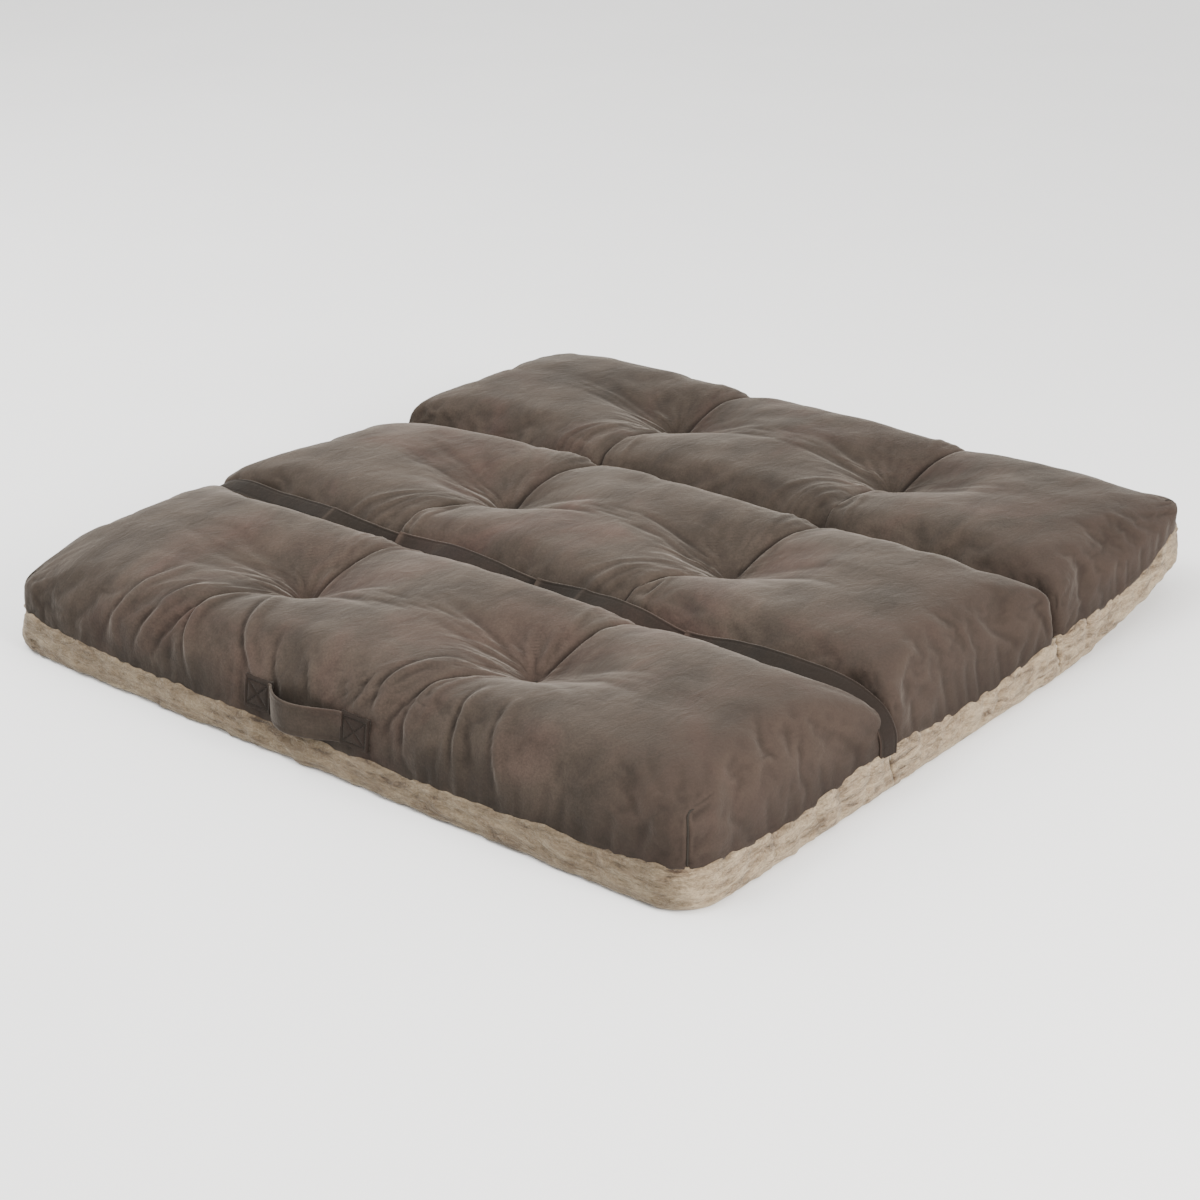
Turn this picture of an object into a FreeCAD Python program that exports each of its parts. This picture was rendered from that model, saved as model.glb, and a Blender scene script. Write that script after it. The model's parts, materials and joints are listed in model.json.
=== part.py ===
"""Tufted three-section pet cushion bed, in millimetres.

The bed lies flat on its plush underside. +Z is up, X runs along the carry handle's side, and Y runs
from the handle's side (-Y) to the back (+Y). The origin is the centre of the underside. Three stuffed
sections lie side by side along Y, and fold up about the seams in the two gutters between them. Each
section is a plush tray holding a pad, with a velvet cover and its fibre fill on top, pulled down by
two tied tufts.
"""

import FreeCAD
import Part
import os

from FreeCAD import Vector

# The bed as a whole
bed_width = 914.0  # along X
bed_depth = 930.0  # along Y
crown_height = 118.0  # top of the stuffed covers
seam_height = 36.0  # where velvet meets plush, and the height of the fold line
section_names = ("front", "middle", "back")
section_pitch = bed_depth / len(section_names)

# Plush tray and the pad in it
plush_thickness = 4.0
tray_corner_radius = 60.0
tray_bottom_edge_radius = 12.0
fold_clearance = 0.5  # each side of a fold line, so that the sections can turn
divider_thickness = 1.0

# Velvet cover and its fill
velvet_thickness = 2.0
cover_inset = 2.0  # the plush stands this far proud of the velvet
cover_corner_radius = 50.0
cover_shoulder_radius = 42.0
gutter_half_gap = 3.0  # from the fold line to a cover's wall

# Tufts: two in each section, a third of the width apart
tuft_offset = bed_width / 6.0
tuft_height = 70.0  # the velvet's height at the knot
dimple_bottom_radius = 7.0
dimple_top_radius = 52.0
tie_radius = 1.5
top_knot = (11.0, 4.0, 2.5)  # length, width and height
back_knot_radius = 5.0
back_knot_bottom = 0.6
back_knot_top = 3.0
knot_clearance = 0.3

# Band of doubled velvet on edge in the front gutter, against the middle section's wall
band_length = 890.0
band_width = 26.0
band_thickness = 2.0
band_back_gap = 0.4  # between the band and the middle cover
band_foot_gap = 0.5  # between the band and the trays' rims
band_top = 96.0
band_end_radius = 55.0
band_tack_count = 3
band_tack_pitch = 189.0
band_tack_shift = 31.0  # the middle tack's X
tack_width = 3.0
tack_height = 6.0
tack_rise = 0.3

# Carry handle on the front side
strap_width = 32.0
strap_bottom = 38.0
strap_thickness = 2.6
strap_half_span = 46.0  # from the middle to where the strap is sewn down
strap_bow = 18.0  # how far the slack strap stands out
tab_length = 36.0
tab_thickness = 3.0
tab_clearance = 0.4
stitch_width = 1.2
stitch_rise = 0.6
stitch_margin = 4.0

front_wall_y = -bed_depth / 2.0 + cover_inset
strap_top = strap_bottom + strap_width
band_back_y = -section_pitch / 2.0 + gutter_half_gap - band_back_gap
band_front_y = band_back_y - band_thickness
shoulder_height = crown_height - cover_shoulder_radius  # where a cover's upright wall ends


def box_between(low, high):
    """A box from its lowest to its highest corner."""
    size = [b - a for a, b in zip(low, high)]
    return Part.makeBox(size[0], size[1], size[2], Vector(*low))


def is_vertical(edge):
    start, end = edge.Vertexes[0].Point, edge.Vertexes[-1].Point
    return abs(start.x - end.x) + abs(start.y - end.y) < 1e-6


def rounded_corners(block, radius, keep_square_at=()):
    """Round a block's upright edges, apart from those at the Y values in keep_square_at."""
    edges = [
        e
        for e in block.Edges
        if is_vertical(e)
        and not any(abs(e.Vertexes[0].Point.y - y) < 1e-6 for y in keep_square_at)
    ]
    return block.makeFillet(radius, edges) if edges else block


def level_edges(block, z, skip_y=()):
    """The edges that lie at height z, apart from straight ones at the Y values in skip_y."""
    found = []
    for edge in block.Edges:
        points = [v.Point for v in edge.Vertexes]
        at_height = all(abs(p.z - z) < 1e-6 for p in points)
        skipped = any(all(abs(p.y - y) < 1e-6 for p in points) for y in skip_y)
        if at_height and not skipped:
            found.append(edge)
    return found


def section_centre(index):
    return (index - 1) * section_pitch


def section_span(index):
    """Lowest and highest Y of a section's tray, and which of the two are fold lines."""
    low = section_centre(index) - section_pitch / 2.0
    high = section_centre(index) + section_pitch / 2.0
    folds = []
    if index > 0:
        low += fold_clearance
        folds.append(low)
    if index < len(section_names) - 1:
        high -= fold_clearance
        folds.append(high)
    return low, high, folds


def tray_block(index, inset, edge_radius):
    """A tray's outline, drawn in by inset on the sides that aren't fold lines, up to the seam."""
    low, high, folds = section_span(index)
    y0 = low if low in folds else low + inset
    y1 = high if high in folds else high - inset
    half = bed_width / 2.0 - inset
    block = box_between((-half, y0, inset), (half, y1, seam_height))
    block = rounded_corners(block, tray_corner_radius - inset, folds)
    return block.makeFillet(edge_radius, level_edges(block, inset, folds))


def cover_block(index, inset):
    """A stuffed cover's outer shape drawn in by inset, without its tuft dimples."""
    y0 = section_centre(index) - section_pitch / 2.0
    y1 = section_centre(index) + section_pitch / 2.0
    y0 += cover_inset if index == 0 else gutter_half_gap
    y1 -= cover_inset if index == len(section_names) - 1 else gutter_half_gap
    half = bed_width / 2.0 - cover_inset - inset
    top = crown_height - inset
    block = box_between((-half, y0 + inset, seam_height), (half, y1 - inset, top))
    block = rounded_corners(block, cover_corner_radius - inset)
    return block.makeFillet(cover_shoulder_radius - inset, level_edges(block, top))


def tuft_places(index):
    """The two tufts of a section: name of the side, and place in plan."""
    y = section_centre(index)
    return (("left", -tuft_offset, y), ("right", tuft_offset, y))


def dimple(x, y, wall):
    """The cone that a tuft pulls into a cover; wall widens and deepens it for the inside face."""
    over = 1.0  # how far the cone passes the crown, so that the cut is clean
    height = crown_height - tuft_height
    slope = (dimple_top_radius - dimple_bottom_radius) / height
    return Part.makeCone(
        dimple_bottom_radius + wall,
        dimple_top_radius + wall + slope * (over + wall),
        height + wall + over,
        Vector(x, y, tuft_height - wall),
    )


def stuffed_shape(index, inset):
    """A cover's shape with its dimples, at the outside (inset 0) or the inside of the velvet."""
    shape = cover_block(index, inset)
    for _, x, y in tuft_places(index):
        shape = shape.cut(dimple(x, y, inset))
    return shape


def tuft_tie(x, y):
    """Knot in the dimple, thread down through the stuffing, and the knot that holds it under the plush."""
    length, width, height = top_knot
    knot = box_between(
        (x - length / 2.0, y - width / 2.0, tuft_height),
        (x + length / 2.0, y + width / 2.0, tuft_height + height),
    )
    knot = knot.makeFillet(width * 0.3, [e for e in knot.Edges if is_vertical(e)])
    thread = Part.makeCylinder(
        tie_radius, tuft_height + height / 2.0 - back_knot_bottom, Vector(x, y, back_knot_bottom)
    )
    back = Part.makeCylinder(
        back_knot_radius, back_knot_top - back_knot_bottom, Vector(x, y, back_knot_bottom)
    )
    return knot.fuse(thread).fuse(back).removeSplitter()


def knot_pocket(x, y):
    """Where the plush is pulled up round a tuft's lower knot."""
    return Part.makeCylinder(back_knot_radius + knot_clearance, back_knot_top, Vector(x, y, 0))


def tray_hollow(index):
    """The room inside a plush tray."""
    return tray_block(index, plush_thickness, tray_bottom_edge_radius - plush_thickness)


def plush_tray(index, ties):
    tray = tray_block(index, 0.0, tray_bottom_edge_radius).cut(tray_hollow(index))
    for _, x, y in tuft_places(index):
        tray = tray.cut(knot_pocket(x, y))
    for tie in ties:
        tray = tray.cut(tie)
    return tray


def gutter_divider(side):
    """The upright strip of cloth that closes the middle tray's pad, at its front (-1) or back (1)."""
    outer = section_pitch / 2.0 - fold_clearance
    y0, y1 = sorted((side * outer, side * (outer - divider_thickness)))
    slab = box_between((-bed_width, y0, 0), (bed_width, y1, seam_height - fold_clearance))
    return slab.common(tray_hollow(1))


def base_pad(index, ties, dividers):
    pad = tray_hollow(index)
    if index == 1:
        low, high, _ = section_span(1)
        room = box_between(
            (-bed_width, low + divider_thickness, 0),
            (bed_width, high - divider_thickness, seam_height),
        )
        pad = pad.common(room)
    for solid in list(ties) + list(dividers):
        pad = pad.cut(solid)
    return pad


def fibre_fill(index, ties):
    fill = stuffed_shape(index, velvet_thickness)
    for tie in ties:
        fill = fill.cut(tie)
    return fill


def velvet_cover(index, ties):
    cover = stuffed_shape(index, 0.0).cut(stuffed_shape(index, velvet_thickness))
    for tie in ties:
        cover = cover.cut(tie)
    return cover


def band_outline(inset):
    """A plate as thick as the band with its two upper corners rounded, drawn in from the band's outside."""
    plate = box_between(
        (-band_length / 2.0 + inset, band_front_y, seam_height + band_foot_gap),
        (band_length / 2.0 - inset, band_back_y, band_top - inset),
    )
    ends = [
        e
        for e in level_edges(plate, band_top - inset)
        if abs(e.Vertexes[0].Point.x - e.Vertexes[-1].Point.x) < 1e-6
    ]
    return plate.makeFillet(band_end_radius - inset, ends)


def gutter_band(tacks):
    """The band, which comes down in a curve to the side seam at each end."""
    band = band_outline(0.0).cut(band_outline(band_width))
    for tack in tacks:
        band = band.cut(tack)
    return band


def band_tack(number):
    """Bar of thread that holds the band to the middle cover's wall."""
    x = band_tack_shift + (number - (band_tack_count - 1) / 2.0) * band_tack_pitch
    return box_between(
        (x - tack_width / 2.0, band_front_y - tack_rise, shoulder_height - tack_height),
        (x + tack_width / 2.0, band_back_y + band_back_gap, shoulder_height),
    )


def strap_arc(offset):
    """The free strap's curve in plan, offset outwards from its inner face."""
    y = front_wall_y - tab_clearance
    return Part.Arc(
        Vector(-strap_half_span + tab_clearance, y - offset, strap_bottom),
        Vector(0, y - strap_bow - offset, strap_bottom),
        Vector(strap_half_span - tab_clearance, y - offset, strap_bottom),
    ).toShape()


def handle_strap():
    inner, outer = strap_arc(0.0), strap_arc(strap_thickness)
    ends = [
        Part.makeLine(inner.Vertexes[i].Point, outer.Vertexes[i].Point) for i in (0, -1)
    ]
    outline = Part.Wire(Part.__sortEdges__([inner, outer] + ends))
    return Part.Face(outline).extrude(Vector(0, 0, strap_width))


def handle_tab(side):
    """The strap's end, folded under and sewn flat on the front wall."""
    x0, x1 = sorted((side * strap_half_span, side * (strap_half_span + tab_length)))
    return box_between(
        (x0, front_wall_y - tab_thickness, strap_bottom), (x1, front_wall_y, strap_top)
    )


def handle_stitch(side):
    """A square of thread with a cross in it, standing a little proud of the tab."""
    x_mid = side * (strap_half_span + tab_length / 2.0)
    z_mid = strap_bottom + strap_width / 2.0
    half_x = tab_length / 2.0 - stitch_margin
    half_z = strap_width / 2.0 - stitch_margin
    y = front_wall_y - tab_thickness
    corners = [(-half_x, -half_z), (half_x, -half_z), (half_x, half_z), (-half_x, half_z)]
    runs = [(corners[i], corners[(i + 1) % 4]) for i in range(4)]
    runs += [(corners[0], corners[2]), (corners[1], corners[3])]
    bars = [thread_bar(start, end) for start, end in runs]
    stitch = bars[0].multiFuse(bars[1:]).removeSplitter()
    stitch.translate(Vector(x_mid, y, z_mid))
    return stitch


def thread_bar(start, end):
    """A run of thread in the XZ plane, from start to end, with its back on Y 0."""
    a, b = Vector(start[0], 0, start[1]), Vector(end[0], 0, end[1])
    along = (b - a).normalize()
    across = along.cross(Vector(0, 1, 0)) * (stitch_width / 2.0)
    reach = along * (stitch_width / 2.0)
    points = [a - reach + across, b + reach + across, b + reach - across, a - reach - across]
    face = Part.Face(Part.makePolygon(points + points[:1]))
    return face.extrude(Vector(0, -stitch_rise, 0))


def build():
    """Every solid of the bed, by the name of its node."""
    nodes = {}
    dividers = {"front": gutter_divider(-1), "back": gutter_divider(1)}
    for index, name in enumerate(section_names):
        ties = []
        for side, x, y in tuft_places(index):
            ties.append(tuft_tie(x, y))
            nodes[f"tuft_tie_{name}_{side}"] = ties[-1]
        nodes[f"plush_tray_{name}"] = plush_tray(index, ties)
        nodes[f"base_pad_{name}"] = base_pad(index, ties, dividers.values())
        nodes[f"fibre_fill_{name}"] = fibre_fill(index, ties)
        nodes[f"velvet_cover_{name}"] = velvet_cover(index, ties)
    for name, divider in dividers.items():
        nodes[f"gutter_divider_{name}"] = divider
    tacks = [band_tack(number) for number in range(band_tack_count)]
    nodes["gutter_band"] = gutter_band(tacks)
    for number, tack in enumerate(tacks, 1):
        nodes[f"band_tack_{number}"] = tack
    nodes["handle_strap"] = handle_strap()
    for side, name in ((-1, "left"), (1, "right")):
        nodes[f"handle_tab_{name}"] = handle_tab(side)
        nodes[f"handle_stitch_{name}"] = handle_stitch(side)
    return nodes


def main():
    os.makedirs("parts", exist_ok=True)
    for name, shape in build().items():
        if not shape.isValid() or shape.Volume <= 0:
            raise RuntimeError(f"{name} isn't a sound solid")
        shape.exportStep(f"parts/{name}.step")
        print(name, len(shape.Solids), "solid(s)", round(shape.Volume / 1000.0, 1), "cm3")


main()
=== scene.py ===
"""Looks of the tufted pet cushion bed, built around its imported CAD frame. Metres, +Z up."""

import json
import math

import bpy
import numpy as np
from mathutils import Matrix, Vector
from mathutils.bvhtree import BVHTree


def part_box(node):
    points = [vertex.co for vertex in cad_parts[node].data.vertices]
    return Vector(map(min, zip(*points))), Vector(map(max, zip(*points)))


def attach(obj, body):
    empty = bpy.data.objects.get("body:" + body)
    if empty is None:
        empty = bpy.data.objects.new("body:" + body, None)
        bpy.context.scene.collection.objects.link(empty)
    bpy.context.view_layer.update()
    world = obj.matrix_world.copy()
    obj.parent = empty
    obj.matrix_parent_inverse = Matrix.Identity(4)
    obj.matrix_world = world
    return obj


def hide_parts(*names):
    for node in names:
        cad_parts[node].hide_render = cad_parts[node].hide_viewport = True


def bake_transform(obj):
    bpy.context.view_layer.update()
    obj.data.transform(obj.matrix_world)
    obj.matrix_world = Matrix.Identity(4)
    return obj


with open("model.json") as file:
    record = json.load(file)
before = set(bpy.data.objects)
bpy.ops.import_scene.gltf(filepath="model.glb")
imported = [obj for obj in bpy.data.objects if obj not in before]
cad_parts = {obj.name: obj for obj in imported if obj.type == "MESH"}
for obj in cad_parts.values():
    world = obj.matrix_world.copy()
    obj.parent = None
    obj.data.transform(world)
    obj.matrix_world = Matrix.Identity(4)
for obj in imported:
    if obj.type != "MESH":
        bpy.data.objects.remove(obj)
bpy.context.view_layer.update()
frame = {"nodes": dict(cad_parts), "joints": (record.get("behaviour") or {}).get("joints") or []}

# ---------------------------------------------------------------- sizes taken from the frame

SECTIONS = ("front", "middle", "back")
SIDES = ("left", "right")
OUTWARD = {"front": -1, "middle": 0, "back": 1}  # the way along Y from a section to the bed's outside
HALF_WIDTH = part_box("plush_tray_middle")[1].x
HALF_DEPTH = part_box("plush_tray_back")[1].y
SEAM_Z, CROWN_Z = (corner.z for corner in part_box("velvet_cover_middle"))
FOLD_Y = next(j for j in frame["joints"] if j["name"] == "fold_back")["pos_m"][1]
PITCH = 2 * FOLD_Y  # from one section's middle to the next
HALF_PITCH = PITCH / 2


def centre_of(node):
    low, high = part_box(node)
    return (low + high) / 2


TUFT_X = centre_of("tuft_tie_middle_right").x
SECTION_Y = {name: centre_of(f"tuft_tie_{name}_right").y for name in SECTIONS}


def from_tuft(x, y, side):
    """How far each place in a section is from its left or right tuft."""
    return np.hypot(x - side * TUFT_X, y)


# ---------------------------------------------------------------- small helpers


def points_at(x, y, z):
    """Points from their X, Y and Z, any of which may be one number for all of them."""
    return np.stack(np.broadcast_arrays(x, y, z), axis=1)


def waves(points, length, seed, stretch=(1, 1, 1)):
    """Smooth random values, mostly within -1 to 1, that vary over the given length."""
    count = 28
    rng = np.random.default_rng(seed)
    k = rng.normal(size=(count, 3))
    k /= np.linalg.norm(k, axis=1, keepdims=True)
    k *= rng.uniform(0.6, 1.5, (count, 1)) * 2 * math.pi / length
    k /= np.array(stretch)
    phase = rng.uniform(0, 2 * math.pi, count)
    return np.sin(points @ k.T + phase).sum(axis=1) / math.sqrt(count)


def bell(x, width):
    """1 at 0, falling off smoothly to both sides."""
    return np.exp(-((x / width) ** 2))


def smooth_step(x, low, high):
    """0 up to low, 1 from high, and smooth between."""
    t = np.clip((x - low) / (high - low), 0, 1)
    return t * t * (3 - 2 * t)


def box_shell(nx, ny, nz, top=True, bottom=False, y_walls=(-1, 1)):
    """A box's surface as a lattice: shares of the box, faces, and the number of each lattice point.

    It has both walls across X, and those across Y that y_walls asks for.
    """
    number, shares = {}, []

    def point(i, j, k):
        if (i, j, k) not in number:
            number[i, j, k] = len(shares)
            shares.append((i / nx, j / ny, k / nz))
        return number[i, j, k]

    faces = []
    for i in range(nx):
        for j in range(ny):
            ring = ((i, j), (i + 1, j), (i + 1, j + 1), (i, j + 1))
            if top:
                faces.append([point(a, b, nz) for a, b in ring])
            if bottom:
                faces.append([point(a, b, 0) for a, b in ring[::-1]])
    for k in range(nz):
        for i in range(nx):
            ring = ((i, k), (i + 1, k), (i + 1, k + 1), (i, k + 1))
            if -1 in y_walls:
                faces.append([point(a, 0, c) for a, c in ring])
            if 1 in y_walls:
                faces.append([point(a, ny, c) for a, c in ring[::-1]])
        for j in range(ny):
            ring = ((j, k), (j + 1, k), (j + 1, k + 1), (j, k + 1))
            faces.append([point(nx, b, c) for b, c in ring])
            faces.append([point(0, b, c) for b, c in ring[::-1]])
    return np.array(shares), faces, number


def normals_of(points, faces):
    """A unit normal at each point, from its faces."""
    corners = np.array(faces)
    a, b, c, d = (points[corners[:, i]] for i in range(4))
    across = np.cross(c - a, d - b)
    normals = np.zeros_like(points)
    for i in range(4):
        np.add.at(normals, corners[:, i], across)
    return normals / np.maximum(np.linalg.norm(normals, axis=1, keepdims=True), 1e-12)


def new_object(name, points, faces, material=None):
    """A mesh object that also keeps its rest positions, so that its pattern stays put when it bends."""
    mesh = bpy.data.meshes.new(name)
    mesh.from_pydata(np.asarray(points, float).tolist(), [], [list(f) for f in faces])
    mesh.polygons.foreach_set("use_smooth", [True] * len(mesh.polygons))
    rest = mesh.attributes.new("rest_place", "FLOAT_VECTOR", "POINT")
    rest.data.foreach_set("vector", np.asarray(points, np.float32).ravel())
    piece = bpy.data.objects.new(name, mesh)
    bpy.context.scene.collection.objects.link(piece)
    if material:
        mesh.materials.append(material)
    return piece


def add_modifier(piece, kind, **settings):
    modifier = piece.modifiers.new(kind.lower(), kind)
    for key, value in settings.items():
        setattr(modifier, key, value)
    return modifier


def sharpen(piece):
    """Keeps a piece's hard edges hard, so that its ends don't shade as if they were round."""
    piece.data.set_sharp_from_angle(angle=math.radians(55))


def tube_mesh(path, radius, sides=8, closed=False):
    """Points and faces of a round tube along a path."""
    path = np.asarray(path, float)
    count = len(path)
    radius = np.broadcast_to(radius, count)
    if closed:
        along = np.roll(path, -1, axis=0) - np.roll(path, 1, axis=0)
    else:
        along = np.gradient(path, axis=0)
    along /= np.linalg.norm(along, axis=1, keepdims=True)
    side = np.cross(along, (0.13, 0.21, 0.97))
    side /= np.linalg.norm(side, axis=1, keepdims=True)
    up = np.cross(side, along)
    turn = np.linspace(0, 2 * math.pi, sides, endpoint=False)
    rings = (
        path[:, None]
        + (np.cos(turn)[None, :, None] * side[:, None] + np.sin(turn)[None, :, None] * up[:, None])
        * radius[:, None, None]
    )
    faces = []
    for i in range(count if closed else count - 1):
        j = (i + 1) % count
        for s in range(sides):
            t = (s + 1) % sides
            faces.append((i * sides + s, i * sides + t, j * sides + t, j * sides + s))
    points = rings.reshape(-1, 3)
    if not closed:
        faces.append(tuple(range(sides))[::-1])
        faces.append(tuple((count - 1) * sides + s for s in range(sides)))
    return points, faces


def joined(parts):
    """Several (points, faces) as one."""
    points, faces, start = [], [], 0
    for some_points, some_faces in parts:
        points.append(np.asarray(some_points, float))
        faces += [tuple(n + start for n in face) for face in some_faces]
        start += len(some_points)
    return np.concatenate(points), faces


# ---------------------------------------------------------------- materials


class Nodes:
    """A node material with short calls for the nodes used here."""

    def __init__(self, name, on_cad=False):
        self.material = bpy.data.materials.new(name)
        self.material.use_nodes = True
        self.tree = self.material.node_tree
        self.shader = self.tree.nodes["Principled BSDF"]
        if on_cad:
            self.place = self.add("ShaderNodeTexCoord").outputs["Object"]
        else:
            self.place = self.add("ShaderNodeAttribute", attribute_name="rest_place").outputs["Vector"]

    def feed(self, socket, value):
        """Links a socket to another one, or sets it to a constant."""
        if isinstance(value, bpy.types.NodeSocket):
            self.tree.links.new(value, socket)
        elif isinstance(value, tuple) and socket.type == "RGBA":
            socket.default_value = (*value, 1)
        else:
            socket.default_value = value

    def add(self, kind, inputs=None, **settings):
        """A node with its settings, and with a constant or a link on each input given."""
        node = self.tree.nodes.new(kind)
        for key, value in settings.items():
            setattr(node, key, value)
        for key, value in (inputs or {}).items():
            self.feed(node.inputs[key], value)
        return node

    def stretched(self, scale, turn=(0, 0, 0), shift=(0, 0, 0)):
        """The rest position, stretched, turned and shifted, as a pattern's coordinates."""
        inputs = {"Vector": self.place, "Location": shift, "Rotation": turn, "Scale": scale}
        return self.add("ShaderNodeMapping", inputs).outputs["Vector"]

    def noise(self, scale, detail=3, rough=0.55, where=None, warp=0.0):
        inputs = {"Scale": scale, "Detail": detail, "Roughness": rough, "Distortion": warp}
        inputs["Vector"] = where or self.place
        return self.add("ShaderNodeTexNoise", inputs).outputs["Fac"]

    def ramp(self, value, *stops):
        """A colour ramp of (place, colour) stops; a bare number is a grey."""
        node = self.add("ShaderNodeValToRGB", {"Fac": value})
        points = node.color_ramp.elements
        while len(points) < len(stops):
            points.new(0.5)
        for point, (at, colour) in zip(points, stops):
            point.position = at
            point.color = (*colour, 1) if isinstance(colour, tuple) else (colour,) * 3 + (1,)
        return node.outputs["Color"]

    def mix(self, factor, first, second, how="MIX"):
        inputs = {0: factor, 6: first, 7: second}  # a mix node's factor and its two colours
        return self.add("ShaderNodeMix", inputs, data_type="RGBA", blend_type=how).outputs[2]

    def lit(self, factor, colour, pattern, *stops):
        """A colour, lighter and darker along with a pattern."""
        return self.mix(factor, colour, self.ramp(pattern, *stops), "SOFT_LIGHT")

    def darkened(self, amount, *colours):
        """Colours times an amount."""
        return [self.mix(1.0, colour, amount, "MULTIPLY") for colour in colours]

    def math(self, operation, *values):
        """A math node on values and sockets."""
        return self.add("ShaderNodeMath", dict(enumerate(values)), operation=operation).outputs["Value"]

    def parts(self, vector):
        return tuple(self.add("ShaderNodeSeparateXYZ", {"Vector": vector}).outputs)

    def vector(self, *values):
        return self.add("ShaderNodeCombineXYZ", dict(enumerate(values))).outputs["Vector"]

    def bumps(self, *layers):
        """Bumps of (height, strength, distance), one over the other."""
        normal = None
        for height, strength, distance in layers:
            inputs = {"Height": height, "Strength": strength, "Distance": distance}
            if normal:
                inputs["Normal"] = normal
            normal = self.add("ShaderNodeBump", inputs).outputs["Normal"]
        return normal

    def finish(self, colour, roughness, **others):
        """The material, with what its shader's inputs are fed with."""
        for key, value in {"Base_Color": colour, "Roughness": roughness, **others}.items():
            self.feed(self.shader.inputs[key.replace("_", " ")], value)
        return self.material


def tuft_creases(n):
    """Heights of the fine creases out from the nearest tuft, and of those across a section's edge."""
    x, y, _ = n.parts(n.place)
    away_x = n.math("SUBTRACT", x, n.math("MULTIPLY", n.math("SIGN", x), TUFT_X))
    away_y = n.math("WRAP", y, HALF_PITCH, -HALF_PITCH)
    squares = [n.math("MULTIPLY", away, away) for away in (away_x, away_y)]
    reach = n.math("SQRT", n.math("ADD", *squares))
    turn = n.math("MULTIPLY_ADD", x, 7.0, n.math("ARCTAN2", away_y, away_x))
    round_tuft = n.vector(
        n.math("MULTIPLY", n.math("COSINE", turn), 2.3),
        n.math("MULTIPLY", n.math("SINE", turn), 2.3),
        n.math("MULTIPLY", n.math("ADD", reach, y), 11.0),
    )
    streaks = n.noise(1.0, detail=1.5, where=round_tuft, warp=0.2)
    rays = n.ramp(streaks, (0.38, 0.0), (0.50, 0.8), (0.62, 1.0))
    near = n.ramp(n.math("MULTIPLY", reach, 5.0), (0.03, 0.0), (0.10, 1.0), (0.48, 0.0))
    facing = n.math("DIVIDE", away_x, n.math("MAXIMUM", reach, 0.001))
    behind = n.ramp(n.math("MULTIPLY_ADD", facing, 0.5, 0.5), (0.45, 1.0), (0.90, 0.25))
    at_tuft = n.math("MULTIPLY", n.math("MULTIPLY", rays, near), behind)
    across = n.noise(32, detail=1.5, where=n.stretched((1, 0.2, 0.2), (0, 0, 0.15)), warp=0.3)
    edge = n.ramp(n.math("MULTIPLY", n.math("ABSOLUTE", away_y), 5.0), (0.50, 0.0), (0.76, 1.0))
    some = n.math("MULTIPLY", n.ramp(n.noise(11, detail=1), (0.45, 0.0), (0.60, 1.0)), edge)
    at_edge = n.math("MULTIPLY", n.ramp(across, (0.38, 0.0), (0.60, 1.0)), some)
    return at_tuft, at_edge


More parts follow.
